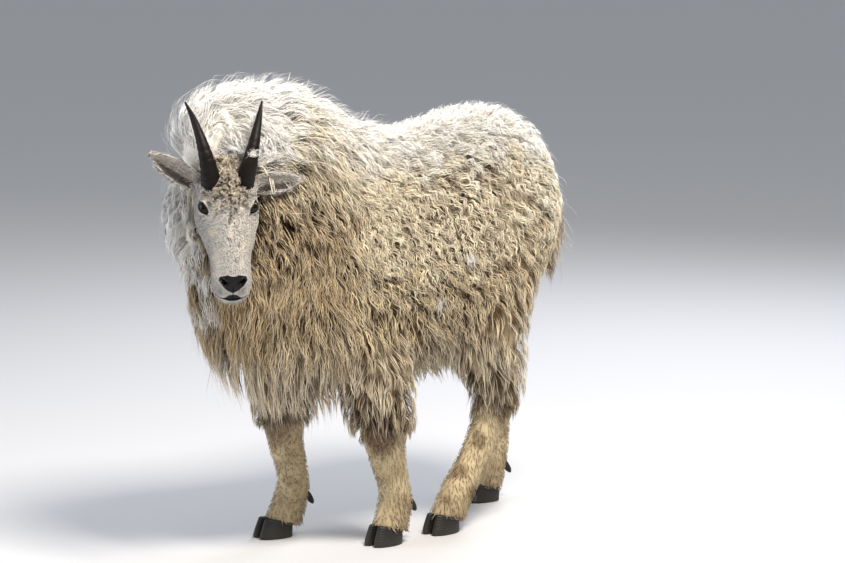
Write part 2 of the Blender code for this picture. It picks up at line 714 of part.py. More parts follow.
def thin_out(target, share):
    """Leaves that share of the triangles, taking away first those that carry no shape."""
    change = target.modifiers.new("thin out", "DECIMATE")
    change.ratio = share
    change.use_collapse_triangulate = True
    bpy.context.view_layer.update()
    result = target.evaluated_get(bpy.context.evaluated_depsgraph_get())
    mesh = bpy.data.meshes.new_from_object(result)
    target.modifiers.clear()
    target.data = mesh


def grow_locks(target, locks, share):
    """Joins the locks to the target by one Boolean union, and drops its slivers."""
    combine(target, [loft("lock", rings) for rings in locks], "UNION")
    thin_out(target, share)


def within(target, room):
    """Keeps the part of the target that lies inside a closed room, which then goes."""
    change = target.modifiers.new("within", "BOOLEAN")
    change.operation, change.solver, change.object = "INTERSECT", "MANIFOLD", room
    bpy.context.view_layer.update()
    result = target.evaluated_get(bpy.context.evaluated_depsgraph_get())
    mesh = bpy.data.meshes.new_from_object(result)
    target.modifiers.clear()
    target.data = mesh
    bpy.data.objects.remove(room)
    keep_largest(target)


def trunk_sizes(u, turn, point):
    """Lock sizes on the trunk: clumps of fleece above, long hair on chest and belly."""
    height = math.sin(turn)
    if point[1] < -0.30 or height < -0.30:
        return (0.195, 0.100, 0.028, 0.95)
    if height > 0.80:
        return (0.150, 0.092, 0.031, 1.0) if point[1] < 0.30 else (0.12, 0.085, 0.028, 0.8)
    return (0.165, 0.106, 0.042, 0.85)


def trunk_flow(point, out):
    if point[1] < -0.32:
        return (0, 0.05, -1)
    return (0, 0.55, -0.85)


def neck_sizes(u, turn, point):
    if math.sin(turn) > 0.2:
        return (0.130, 0.078, 0.032, 1.05)
    return (0.17, 0.076, 0.024, 0.9)


def neck_flow(point, out):
    if out[2] > 0.35:
        return (0.35 * out[0], 1.0, 0.35)
    return (0, 0.25, -0.97)


def leg_sizes(name):
    """Lock sizes on an upper leg: shaggier on the thigh, longest above the knee."""

    def sizes(u, turn, point):
        return (0.135, 0.078, 0.024, 0.85) if name.startswith("hind") else (0.135, 0.068, 0.022, 0.85)

    return sizes


def leg_flow(point, out):
    return (0.12 * out[0], 0.25 * out[1], -1)


def head_locks():
    """The crown wool between the horns and a short beard under the jaw."""
    left, nose, brow = (np.array(axis) for axis in head_axes())
    dice = random.Random(HAIR_SEED)
    last = len(FACE) - 1
    made = []
    for u, degrees in FOREHEAD_LOCKS:
        turn = math.radians(degrees)
        way = nose * 0.9 + left * 0.2 * math.cos(turn)
        made.append(lock_rings(face_form, last, u, turn, way, *FOREHEAD_LOCK_SIZE, dice, 3))
    for u, degrees in BEARD_LOCKS:
        way = np.array((0.0, 0.0, -1.0)) - nose * 0.1
        point, _, _, out = surface_at(face_form, last, u, math.radians(degrees))
        side = np.cross(way, out)
        side /= np.linalg.norm(side)
        length, width, thick = BEARD_LOCK_SIZE
        length *= dice.uniform(0.85, 1.15)
        rings = []
        for t, size in ((0.0, 1.0), (0.35, 1.0), (0.7, 0.7)):
            middle = point - out * ROOT_DEPTH * (1 - t) + way * length * t
            across, over = side * width * size / 2, out * thick * size / 2
            rings.append([middle + across, middle + over, middle - across, middle - over])
        rings.append([point + way * length])
        made.append(rings)
    return made


def give_material(target, name, colour, rough):
    skin = bpy.data.materials.get(name)
    if skin is None:
        skin = bpy.data.materials.new(name)
        skin.use_nodes = True
        shader = skin.node_tree.nodes["Principled BSDF"]
        shader.inputs["Base Color"].default_value = (*colour, 1)
        shader.inputs["Roughness"].default_value = rough
        skin.diffuse_color = (*colour, 1)
    target.data.materials.clear()
    target.data.materials.append(skin)


def build():
    for old in list(bpy.data.objects):
        bpy.data.objects.remove(old)
    left, nose, brow = head_axes()

    neck_form = limb_form(NECK, MANE_WIDENING)
    trunk = loft("torso", form_rings(trunk_form, CORE_SHARE, 0, 0, len(TRUNK) - 1, 17, 18))
    nape = loft("nape", form_rings(neck_form, CORE_SHARE, 0, 0, len(NECK) - 1, 9, 16))
    trunk_tree, nape_tree = tree_of(trunk), tree_of(nape)
    torso = combine(trunk, [nape], "UNION")
    neck = copy_of(torso, "neck")
    head, horn_lines = build_head()

    sleeves, leg_trees = [], []
    for name, rows, split, foot, toe_turn in LEGS:
        upper, shin = leg(name, rows, split, foot, toe_turn)
        room = loft("cut", sleeve_rings(rows, split))
        locks = coat_locks(
            limb_form(rows), len(rows) - 1, LEG_SPACING, leg_sizes(name), leg_flow,
            [(trunk_tree, -0.004)], len(sleeves), low=1.6, high=split - 0.15,
        )
        leg_trees.append((tree_of(upper), 0.0))
        grow_locks(upper, locks, LEG_TRIANGLE_SHARE)
        within(upper, room)
        combine(upper, [loft("cut", grown(shin, 2 * GAP))], "DIFFERENCE")
        sleeves.append(loft("cut", grown(sleeve_rings(rows, split), 2 * GAP)))
        sleeves.append(loft("cut", grown(shin, 2 * GAP)))
    tail_form = limb_form(TAIL)
    tail = loft("tail", form_rings(tail_form, CORE_SHARE, 0, 0, len(TAIL) - 1, 7, 8))
    tail_room = form_rings(tail_form, SLEEVE_SHARE, 0.001, 0, len(TAIL) - 1, 8, 12)
    locks = coat_locks(
        tail_form, len(TAIL) - 1, (0.05, 0.045), lambda u, turn, point: (0.085, 0.042, 0.014, 0.9),
        leg_flow, [(trunk_tree, -0.004)], 9, low=1.2, high=3.0,
    )
    grow_locks(tail, locks, LEG_TRIANGLE_SHARE)
    within(tail, loft("cut", tail_room))
    sleeves.append(loft("cut", grown(tail_room, 2 * GAP)))

    near = [(nape_tree, 0.004), *leg_trees]
    locks = coat_locks(trunk_form, len(TRUNK) - 1, TRUNK_SPACING, trunk_sizes, trunk_flow, near, 20, low=0.5)
    locks += coat_locks(
        trunk_form, len(TRUNK) - 1, CREST_SPACING, trunk_sizes, trunk_flow, [(nape_tree, 0.004)], 40,
        low=4.0, high=9.3, turns=(82, 98),
    )
    locks += coat_locks(
        neck_form, len(NECK) - 1, NECK_SPACING, neck_sizes, neck_flow, [(trunk_tree, 0.004)], 30, low=0.5,
        high=len(NECK) - 1.05,
    )
    point, normal = Vector(NECK_PLANE[0]), Vector(NECK_PLANE[1]).normalized()
    for target, sign in ((torso, -1), (neck, 1)):
        near = []
        for rings in locks:
            reach = [sign * (Vector(corner) - point).dot(normal) for ring in rings for corner in ring]
            if max(reach) > 0.002:
                near.append(rings)
        grow_locks(target, near, TRIANGLE_SHARE)

    sleeves.append(slab("cut", point - normal * GAP / 2, normal))
    combine(torso, sleeves, "DIFFERENCE")
    cuts = [slab("cut", point + normal * GAP / 2, -normal), head_room()]
    cuts += [loft("cut", ear_rings(rows, sign, 0.0015)) for rows, sign in ((EAR_LEFT, 1), (EAR_RIGHT, -1))]
    cuts += [loft("cut", grown(rings, 0.004)) for rings in horn_lines]
    combine(neck, cuts, "DIFFERENCE")

    for made in bpy.context.scene.collection.objects:
        kind = made.name.split("_")[0]
        material, colour, rough = MATERIALS.get(kind, MATERIALS["coat"])
        give_material(made, material, colour, rough)
    points = np.array([v.co[:] for made in bpy.context.scene.collection.objects for v in made.data.vertices])
    low, high = points.min(0), points.max(0)
    shift = Matrix.Translation((-(low[0] + high[0]) / 2, -(low[1] + high[1]) / 2, -low[2]))
    for made in bpy.context.scene.collection.objects:
        made.data.transform(shift)


build()
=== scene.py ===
# %% [markdown]
# # A mountain goat in its long coat
# The goat stands life size on four hooves, with its head turned to its left. This
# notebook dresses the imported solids: one skin takes the place of the flesh, and tens of
# thousands of small solid tufts grow out of it and follow the lie of the coat.
# The model comes in metres, +Z up. The goat faces -Y and its left side is +X.

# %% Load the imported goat
import math

import bmesh
import bpy
import numpy as np
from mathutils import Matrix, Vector
from mathutils.bvhtree import BVHTree
from mathutils.kdtree import KDTree


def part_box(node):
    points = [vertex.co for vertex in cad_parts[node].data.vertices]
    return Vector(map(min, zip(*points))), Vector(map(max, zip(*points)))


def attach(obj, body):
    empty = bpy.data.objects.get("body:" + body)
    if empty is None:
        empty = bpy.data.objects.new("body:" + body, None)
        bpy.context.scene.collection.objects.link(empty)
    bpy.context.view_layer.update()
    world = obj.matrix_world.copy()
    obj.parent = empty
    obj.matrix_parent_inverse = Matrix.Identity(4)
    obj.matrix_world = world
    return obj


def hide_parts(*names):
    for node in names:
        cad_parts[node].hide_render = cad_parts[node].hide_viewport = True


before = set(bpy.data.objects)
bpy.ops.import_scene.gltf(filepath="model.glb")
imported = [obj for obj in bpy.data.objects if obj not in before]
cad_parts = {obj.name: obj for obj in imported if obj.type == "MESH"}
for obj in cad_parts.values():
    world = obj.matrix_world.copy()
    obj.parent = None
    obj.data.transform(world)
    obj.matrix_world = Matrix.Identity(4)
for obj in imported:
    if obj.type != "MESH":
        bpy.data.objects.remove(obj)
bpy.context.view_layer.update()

# %% [markdown]
# ## The sizes of the body
# Every form of the body is a line of cross-sections. A row gives one section, and the
# sections between rows are read on a smooth curve. The rows are the same as in the solids,
# so the skin lies exactly inside them. Each row ends with the depth of the coat there.

# %% Rows of the trunk, the neck and the tail
# y, top and bottom of the flesh, half width, coat above, below and beside, narrowing
TRUNK = (
    (-0.478, 0.625, 0.590, 0.012, 0.015, 0.020, 0.020, 0.00),
    (-0.458, 0.660, 0.560, 0.040, 0.035, 0.045, 0.040, 0.00),
    (-0.415, 0.770, 0.500, 0.080, 0.050, 0.080, 0.055, 0.10),
    (-0.350, 0.870, 0.450, 0.120, 0.060, 0.100, 0.055, 0.15),
    (-0.260, 0.925, 0.425, 0.143, 0.085, 0.100, 0.055, 0.22),
    (-0.170, 0.920, 0.415, 0.155, 0.085, 0.080, 0.050, 0.30),
    (-0.060, 0.890, 0.415, 0.162, 0.060, 0.060, 0.045, 0.22),
    (0.060, 0.878, 0.420, 0.172, 0.055, 0.065, 0.040, 0.15),
    (0.180, 0.895, 0.435, 0.175, 0.062, 0.055, 0.040, 0.12),
    (0.290, 0.905, 0.480, 0.162, 0.070, 0.040, 0.040, 0.12),
    (0.385, 0.878, 0.555, 0.132, 0.070, 0.040, 0.040, 0.08),
    (0.445, 0.800, 0.640, 0.075, 0.050, 0.040, 0.040, 0.05),
    (0.470, 0.750, 0.690, 0.022, 0.030, 0.030, 0.030, 0.00),
)
# x, y, z, half width, half height, coat
NECK = (
    (0.000, -0.220, 0.770, 0.100, 0.172, 0.060),
    (0.005, -0.310, 0.800, 0.098, 0.175, 0.078),
    (0.014, -0.390, 0.830, 0.086, 0.160, 0.085),
    (0.034, -0.440, 0.855, 0.064, 0.140, 0.078),
    (0.056, -0.478, 0.866, 0.056, 0.122, 0.062),
    (0.078, -0.506, 0.848, 0.040, 0.068, 0.012),
)
TAIL = (
    (0.008, 0.415, 0.805, 0.018, 0.016, 0.016),
    (0.024, 0.455, 0.785, 0.018, 0.015, 0.026),
    (0.038, 0.478, 0.735, 0.016, 0.012, 0.030),
    (0.046, 0.482, 0.665, 0.011, 0.009, 0.028),
    (0.052, 0.478, 0.595, 0.004, 0.004, 0.012),
)

# %% Rows of the legs
# x, y, z, half width, half depth, coat, from the body down to the foot
FORE_LEFT = (
    (0.092, -0.165, 0.620, 0.056, 0.080, 0.020),
    (0.120, -0.145, 0.520, 0.058, 0.078, 0.030),
    (0.130, -0.122, 0.430, 0.046, 0.056, 0.045),
    (0.130, -0.102, 0.340, 0.036, 0.042, 0.050),
    (0.127, -0.082, 0.255, 0.032, 0.038, 0.030),
    (0.125, -0.072, 0.205, 0.033, 0.037, 0.010),
    (0.122, -0.052, 0.140, 0.026, 0.031, 0.008),
    (0.120, -0.046, 0.085, 0.031, 0.034, 0.008),
    (0.119, -0.078, -0.020, 0.033, 0.036, 0.004),
)
FORE_RIGHT = (
    (-0.092, -0.185, 0.620, 0.056, 0.080, 0.020),
    (-0.118, -0.180, 0.520, 0.058, 0.078, 0.030),
    (-0.122, -0.180, 0.430, 0.046, 0.056, 0.045),
    (-0.115, -0.183, 0.340, 0.036, 0.042, 0.045),
    (-0.108, -0.184, 0.255, 0.032, 0.036, 0.022),
    (-0.105, -0.180, 0.205, 0.032, 0.035, 0.008),
    (-0.102, -0.165, 0.140, 0.026, 0.030, 0.008),
    (-0.100, -0.172, 0.085, 0.031, 0.034, 0.008),
    (-0.099, -0.222, -0.020, 0.033, 0.036, 0.004),
)
HIND_LEFT = (
    (0.080, 0.270, 0.750, 0.066, 0.115, 0.020),
    (0.105, 0.250, 0.640, 0.068, 0.118, 0.030),
    (0.122, 0.220, 0.530, 0.060, 0.090, 0.040),
    (0.126, 0.222, 0.440, 0.048, 0.062, 0.045),
    (0.125, 0.245, 0.365, 0.038, 0.044, 0.035),
    (0.122, 0.262, 0.310, 0.034, 0.042, 0.016),
    (0.118, 0.225, 0.220, 0.027, 0.032, 0.010),
    (0.115, 0.180, 0.140, 0.027, 0.031, 0.008),
    (0.113, 0.140, 0.080, 0.031, 0.034, 0.008),
    (0.112, 0.090, -0.020, 0.033, 0.036, 0.004),
)
HIND_RIGHT = (
    (-0.080, 0.290, 0.750, 0.066, 0.115, 0.020),
    (-0.105, 0.285, 0.640, 0.068, 0.112, 0.030),
    (-0.118, 0.290, 0.530, 0.058, 0.085, 0.040),
    (-0.115, 0.335, 0.440, 0.046, 0.060, 0.040),
    (-0.108, 0.400, 0.365, 0.037, 0.044, 0.030),
    (-0.105, 0.440, 0.310, 0.034, 0.042, 0.014),
    (-0.100, 0.448, 0.220, 0.027, 0.032, 0.010),
    (-0.096, 0.440, 0.140, 0.027, 0.031, 0.008),
    (-0.093, 0.425, 0.080, 0.031, 0.034, 0.008),
    (-0.092, 0.385, -0.020, 0.033, 0.036, 0.004),
)
# name, rows, place of the knee or hock, middle of the hoof, turn of the toes
LEGS = (
    ("fore_left", FORE_LEFT, 4.6, (0.120, -0.078), math.radians(8)),
    ("fore_right", FORE_RIGHT, 4.6, (-0.100, -0.222), math.radians(-4)),
    ("hind_left", HIND_LEFT, 4.9, (0.112, 0.098), math.radians(10)),
    ("hind_right", HIND_RIGHT, 4.9, (-0.092, 0.398), math.radians(-6)),
)

# %% Rows of the head, the horns and the ears, in the head's own axes
# b along the face, half width, top, underside, how much wider the top is, coat
FACE = (
    (-0.040, 0.034, 0.000, -0.070, 0.00, 0.012),
    (-0.012, 0.050, 0.024, -0.092, 0.05, 0.012),
    (0.030, 0.056, 0.034, -0.104, 0.10, 0.010),
    (0.070, 0.060, 0.036, -0.104, 0.12, 0.007),
    (0.100, 0.060, 0.033, -0.098, 0.12, 0.006),
    (0.135, 0.051, 0.028, -0.086, 0.10, 0.004),
    (0.175, 0.041, 0.023, -0.070, 0.06, 0.003),
    (0.210, 0.039, 0.019, -0.061, 0.00, 0.002),
    (0.240, 0.039, 0.011, -0.059, 0.00, 0.002),
    (0.258, 0.036, -0.006, -0.060, 0.00, 0.001),
    (0.270, 0.028, -0.022, -0.058, 0.00, 0.001),
    (0.277, 0.014, -0.034, -0.052, 0.00, 0.001),
)
# a to the side, b along the face, c out of the forehead, half width
HORN = (
    (0.036, 0.040, 0.010, 0.0190),
    (0.037, 0.030, 0.040, 0.0185),
    (0.045, 0.005, 0.072, 0.0150),
    (0.057, -0.040, 0.088, 0.0110),
    (0.070, -0.092, 0.084, 0.0070),
    (0.082, -0.140, 0.062, 0.0020),
)
EAR_LEFT = (
    (0.045, 0.020, -0.012, 0.014),
    (0.072, 0.022, -0.010, 0.022),
    (0.102, 0.021, -0.006, 0.025),
    (0.136, 0.017, -0.007, 0.019),
    (0.166, 0.011, -0.012, 0.004),
)
EAR_RIGHT = (
    (0.045, 0.020, -0.012, 0.014),
    (0.070, 0.010, -0.006, 0.022),
    (0.100, -0.005, 0.004, 0.025),
    (0.130, -0.025, 0.010, 0.019),
    (0.158, -0.045, 0.012, 0.004),
)
HEAD_AT = np.array((0.108, -0.502, 0.865))
HEAD_YAW, HEAD_PITCH = math.radians(60.5), math.radians(60)
EYE_AT = np.array((0.0470, 0.083, 0.009))
EYE_RADIUS = 0.0165

# %% [markdown]
# ## Reading the forms
# `row_at` reads a row at any place, and each form function turns it into a centre, two
# directions and two half sizes. `share` says how much of the coat lies on the flesh:
# 0 is the flesh, 1 is the tips of the hair. A loft then joins rings of points.


# %% Read a form at any place
def unit(v):
    return v / np.maximum(np.linalg.norm(v, axis=-1, keepdims=True), 1e-9)


ACROSS, UP = np.array((1.0, 0, 0)), np.array((0, 0, 1.0))


def between(a, b, c, d, t):
    """A smooth curve through four rows, read at t between the middle two."""
    return 0.5 * (2 * b + (c - a) * t + (2 * a - 5 * b + 4 * c - d) * t**2 + (3 * b - a - 3 * c + d) * t**3)


def row_at(rows, u):
    last = len(rows) - 1
    first = int(min(max(u, 0), last - 1e-6))
    t = u - first
    near = (np.array(rows[min(max(first + k, 0), last)], float) for k in (-1, 0, 1, 2))
    return between(*near, t)


def trunk_form(u, share):
    y, top, bottom, half, above, below, beside, narrowing = row_at(TRUNK, u)
    top, bottom = top + share * above, bottom - share * below
    centre = np.array((0, y, (top + bottom) / 2))
    return centre, ACROSS, UP, half + share * beside, (top - bottom) / 2, narrowing


def limb_form(rows, narrowing=0.0):
    last = len(rows) - 1

    def form(u, share):
        x, y, z, half_side, half_up, coat = row_at(rows, u)
        tangent = unit(row_at(rows, min(u + 0.2, last))[:3] - row_at(rows, max(u - 0.2, 0))[:3])
        side = unit(ACROSS - tangent * tangent[0])
        grow = share * coat
        return np.array((x, y, z)), side, np.cross(tangent, side), half_side + grow, half_up + grow, narrowing

    return form


LEVEL = np.array((math.sin(HEAD_YAW), -math.cos(HEAD_YAW), 0.0))
NOSE = LEVEL * math.cos(HEAD_PITCH) - UP * math.sin(HEAD_PITCH)
BROW = LEVEL * math.sin(HEAD_PITCH) + UP * math.cos(HEAD_PITCH)
LEFT = np.cross(BROW, NOSE)


def head_point(a, b, c):
    return HEAD_AT + LEFT * a + NOSE * b + BROW * c


def face_form(u, share):
    b, half, top, bottom, widening, coat = row_at(FACE, u)
    grow = share * coat
    return head_point(0, b, (top + bottom) / 2), LEFT, BROW, half + grow, (top - bottom) / 2 + grow, -widening


def on_form(form, u, turn, share):
    centre, side, up, half_side, half_up, narrowing = form(u, share)
    across = half_side * math.cos(turn) * (1 - narrowing * math.sin(turn))
    return centre + side * across + up * (half_up * math.sin(turn))


print("The face points along", np.round(NOSE, 2))

# %% [markdown]
# ## One place for everything
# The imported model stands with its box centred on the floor, so the rows are moved by the
# same step. An eye is a ball, so the middle of its box tells how far.

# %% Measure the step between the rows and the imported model
low, high = (np.array(corner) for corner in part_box("eye_left"))
SHIFT = (low + high) / 2 - head_point(*EYE_AT)
print("Step", np.round(SHIFT, 4))


# %% Make meshes, lofts and modifiers
def placed(name, data):
    """An object of the scene that shows the data."""
    made = bpy.data.objects.new(name, data)
    bpy.context.scene.collection.objects.link(made)
    return made


def mesh_object(name, points, faces, shift=SHIFT):
    mesh = bpy.data.meshes.new(name)
    mesh.from_pydata((np.asarray(points) + shift).tolist(), [], faces)
    shape = bmesh.new()
    shape.from_mesh(mesh)
    bmesh.ops.recalc_face_normals(shape, faces=shape.faces[:])
    shape.to_mesh(mesh)
    shape.free()
    return placed(name, mesh)


def loft(name, rings):
    """A closed mesh through rings of equal size, with a fan over each end."""
    rings = np.asarray(rings)
    count, sides = rings.shape[:2]
    points = np.vstack((rings.reshape(-1, 3), rings[0].mean(0)[None], rings[-1].mean(0)[None]))
    faces = []
    for i in range(count - 1):
        for j in range(sides):
            k = (j + 1) % sides
            faces.append((i * sides + j, i * sides + k, (i + 1) * sides + k, (i + 1) * sides + j))
    for start, middle in ((0, count * sides), ((count - 1) * sides, count * sides + 1)):
        faces.extend((start + j, start + (j + 1) % sides, middle) for j in range(sides))
    return mesh_object(name, points, faces)


def round_turns(sides):
    """Angles spread evenly once round."""
    return np.linspace(0, 2 * math.pi, sides, endpoint=False)


def ball(name, centre, axes, radii, segments=24, rows=12):
    """A ball stretched along three axes."""
    axes = [unit(np.array(axis, float)) for axis in axes]
    rings = []
    for height in math.pi * (np.arange(rows) + 0.5) / rows:
        ring = []
        for turn in round_turns(segments):
            flat = axes[0] * radii[0] * math.cos(turn) + axes[1] * radii[1] * math.sin(turn)
            ring.append(centre + flat * math.sin(height) + axes[2] * radii[2] * math.cos(height))
        rings.append(ring)
    return loft(name, rings)


def applied(target):
    """Turns the target with its modifiers into a plain mesh."""
    bpy.context.view_layer.update()
    result = target.evaluated_get(bpy.context.evaluated_depsgraph_get())
    mesh = bpy.data.meshes.new_from_object(result)
    target.modifiers.clear()
    target.data = mesh
    return target


def drop(made):
    bpy.data.objects.remove(made)


def joined(pieces, name):
    """One mesh of several, which are then removed."""
    shape = bmesh.new()
    for piece in pieces:
        shape.from_mesh(piece.data)
        drop(piece)
    mesh = bpy.data.meshes.new(name)
    shape.to_mesh(mesh)
    shape.free()
    return placed(name, mesh)


def relaxed(target, rounds):
    """Smooths the target's mesh, with any modifier that it already has."""
    relax = target.modifiers.new("relax", "SMOOTH")
    relax.factor, relax.iterations = 0.5, rounds
    return applied(target)


def melted(target, voxel, rounds):
    """Voxel remesh, which melts crossing pieces together, then smoothing."""
    remesh = target.modifiers.new("melt", "REMESH")
    remesh.mode, remesh.voxel_size = "VOXEL", voxel
    return relaxed(target, rounds)


def fused(target, others, operation="UNION"):
    for other in others:
        change = target.modifiers.new("fuse", "BOOLEAN")
        change.operation, change.solver, change.object = operation, "MANIFOLD", other
    applied(target)
    for other in others:
        drop(other)
    return target


def read_all(items, what, kind=np.float32, each=3):
    """One value of every item, as an array with a row each."""
    values = np.empty(len(items) * each, kind)
    items.foreach_get(what, values)
    return values.reshape(-1, each)


def points_of(made):
    return read_all(made.data.vertices, "co").astype(float)


def set_points(made, points):
    made.data.vertices.foreach_set("co", np.asarray(points, np.float32).ravel())
    made.data.update()


def normals_of(made):
    return read_all(made.data.vertex_normals, "vector").astype(float)


def paint_on(made, name, colours, alpha):
    """Keeps a colour for each vertex, and one more value in its alpha."""
    tint = made.data.color_attributes.new(name, "FLOAT_COLOR", "POINT")
    tint.data.foreach_set("color", np.hstack((colours, alpha[:, None])).astype(np.float32).ravel())


def give(pieces, material):
    """Gives each piece one material, in place of any that it had."""
    for made in pieces:
        made.data.materials.clear()
        made.data.materials.append(material)


# %% [markdown]
# ## Camera, floor and light
# The photo was taken from a little above the goat's back line, in front of its left
# shoulder, with a long lens. The floor is plain and pale. A large soft key light from
# above the camera's right and a wide fill keep the shadows between the locks soft.

# %% Camera at the photo's angle
AZIMUTH, ELEVATION, DISTANCE = math.radians(50), math.radians(8), 7.0
PIXELS_PER_METRE = 435.0
WIDTH, HEIGHT = 845, 563
# the pixel of the photo where the middle of the four feet stands
FEET_X, FEET_Y = 377, 530
SENSOR_MM = 36
level_way = np.array((math.sin(AZIMUTH), -math.cos(AZIMUTH), 0))
back_way = level_way * math.cos(ELEVATION) + UP * math.sin(ELEVATION)
right = unit(np.cross(UP, back_way))
up = np.cross(back_way, right)
target = right * (WIDTH / 2 - FEET_X) / PIXELS_PER_METRE + up * (FEET_Y - HEIGHT / 2) / PIXELS_PER_METRE
lens_data = bpy.data.cameras.new("camera")
lens_data.sensor_width = SENSOR_MM
lens_data.lens = SENSOR_MM * PIXELS_PER_METRE * DISTANCE / WIDTH
camera = placed("camera", lens_data)
camera.location = target + back_way * DISTANCE + SHIFT
camera.rotation_euler = Vector(back_way).to_track_quat("Z", "Y").to_euler()
bpy.context.scene.camera = camera
print("Lens", round(lens_data.lens, 1), "mm")


# %% Colours and a helper for nodes
def hex_colour(code):
    """sRGB hex to the linear values that a shader takes."""
    values = [int(code[i : i + 2], 16) / 255 for i in (1, 3, 5)]
    return [v / 12.92 if v <= 0.04045 else ((v + 0.055) / 1.055) ** 2.4 for v in values]


def solid_tint(code):
    """The same colour with full alpha, as a colour socket takes it."""
    return (*hex_colour(code), 1)


def output_of(source):
    """The socket that a link starts from. A node stands for its first output."""
    return source.outputs[0] if isinstance(source, bpy.types.Node) else source


def add_node(tree, kind, links=(), fixed=(), **settings):
    """Adds a node. A setting is a property or an input, a link feeds an input, and fixed
    gives sockets that share a name their values by number."""
    made = tree.nodes.new(kind)
    for key, value in settings.items():
        if hasattr(made, key):
            setattr(made, key, value)
        else:
            made.inputs[key.replace("_", " ")].default_value = value
    for socket, value in fixed:
        made.inputs[socket].default_value = value
    for socket, source in links:
        tree.links.new(output_of(source), made.inputs[socket])
    return made


def new_material(name, colour, roughness):
    made = bpy.data.materials.new(name)
    made.use_nodes = True
    shader = made.node_tree.nodes["Principled BSDF"]
    shader.inputs["Base Color"].default_value = solid_tint(colour)
    shader.inputs["Roughness"].default_value = roughness
    return made, made.node_tree, shader


def feed(tree, shader, **sources):
    """Links nodes or their sockets to the shader's inputs of these names."""
    for name, source in sources.items():
        tree.links.new(output_of(source), shader.inputs[name.replace("_", " ")])


# %% Floor and lights
LIT_AT = Vector((0, 0, 0.6))
FLOOR_HALF = 30.0


def area_light(name, place, energy, size, colour):
    data = bpy.data.lights.new(name, "AREA")
    data.energy, data.size, data.color = energy, size, hex_colour(colour)
    made = placed(name, data)
    made.location = Vector(place)
    made.rotation_euler = (Vector(place) - LIT_AT).to_track_quat("Z", "Y").to_euler()


edge = [(FLOOR_HALF * x, FLOOR_HALF * y, 0) for x, y in ((-1, -1), (1, -1), (1, 1), (-1, 1))]
floor = mesh_object("floor", edge, [(0, 1, 2, 3)], 0)
give([floor], new_material("pale_floor", "#D5D6D8", 0.75)[0])
area_light("key", (2.2, -0.3, 3.8), 225, 1.2, "#FFF6EA")
area_light("fill", (-2.4, -3.8, 1.9), 85, 3.0, "#F2F5FF")
area_light("rim", (-1.5, 3.2, 3.2), 95, 1.8, "#F4F7FF")
world = bpy.data.worlds.new("studio")
bpy.context.scene.world = world
world.use_nodes = True
sky = world.node_tree.nodes["Background"]
sky.inputs["Color"].default_value, sky.inputs["Strength"].default_value = solid_tint("#E6EAF0"), 0.48
bpy.context.scene.view_settings.view_transform = "Standard"

# %% [markdown]
# ## The skin
# Under the coat the goat is one smooth body. Each limb is lofted a little way into its
# coat, the lofts are melted together by a voxel remesh, and smoothing rounds the folds
# where they meet. The head is made apart at a finer grain, because its bare parts show.

# %% Loft and melt the body
SKIN_SHARE = 0.40
SHIN_SHARE = 0.65
MANE_WIDENING = 0.05
SKIN_VOXEL, SKIN_ROUNDS = 0.0105, 4
forms = {"trunk": (trunk_form, TRUNK), "neck": (limb_form(NECK, MANE_WIDENING), NECK)}
forms["tail"] = (limb_form(TAIL), TAIL)
forms.update({leg[0]: (limb_form(leg[1]), leg[1]) for leg in LEGS})
splits = {leg[0]: leg[2] for leg in LEGS}


def leg_share(u, split):
    """Under the knee the short hair is nearly all skin."""
    return SKIN_SHARE + (SHIN_SHARE - SKIN_SHARE) * min(max(u - split, 0), 1)


pieces = []
for name, (form, rows) in forms.items():
    last = len(rows) - 1
    rings = []
    for u in np.linspace(0, last, 60 if name == "trunk" else 36):
        share = leg_share(u, splits.get(name, last))
        rings.append([on_form(form, u, turn, share) for turn in round_turns(40)])
    pieces.append(loft(name, rings))
skin = melted(joined(pieces, "skin"), SKIN_VOXEL, SKIN_ROUNDS)
print("Body skin", len(skin.data.polygons), "faces")

# %% [markdown]
# Each leg ends on the slanting top edge of its hoof, so a block takes off what lies below.

# %% Cut the legs at the hooves
CORONET_HEIGHT, CORONET_SLOPE = 0.040, 0.20
BLOCK_HALF, BLOCK_DEPTH = 0.08, 0.2


def foot_frame(foot, toe_turn):
    """The middle of a foot on the floor, and the directions forward and outward."""
    forward = np.array((math.sin(toe_turn), -math.cos(toe_turn), 0))
    outward = np.array((math.cos(toe_turn), math.sin(toe_turn), 0))
    return np.array((*foot, 0.0)), forward, outward


blocks = []
for name, rows, split, foot, toe_turn in LEGS:
    middle, forward, outward = foot_frame(foot, toe_turn)
    square = [(forward * f + outward * s) * BLOCK_HALF for f, s in ((1, 1), (1, -1), (-1, -1), (-1, 1))]
    top = [middle + c + UP * (CORONET_HEIGHT + CORONET_SLOPE * (c @ forward)) for c in square]
    blocks.append(loft("block", [[point - UP * BLOCK_DEPTH for point in top], top]))
fused(skin, blocks, "DIFFERENCE")
print("Cut", len(blocks), "legs")

# %% [markdown]
# ## The head
# A mountain goat has a long, nearly straight face with a square muzzle. The nose pad is
# bare and black, the mouth runs back under the cheek, and the lids lie close on the eye.
# The bones are soft balls melted into the loft. Folds, lids, nostrils and lips are then
# pressed into the surface by moving its vertices, worked out in the head's own axes.

# %% Melt the bones of the head together
HEAD_VOXEL, HEAD_ROUNDS = 0.0027, 8
FACE_SHARE = 0.6
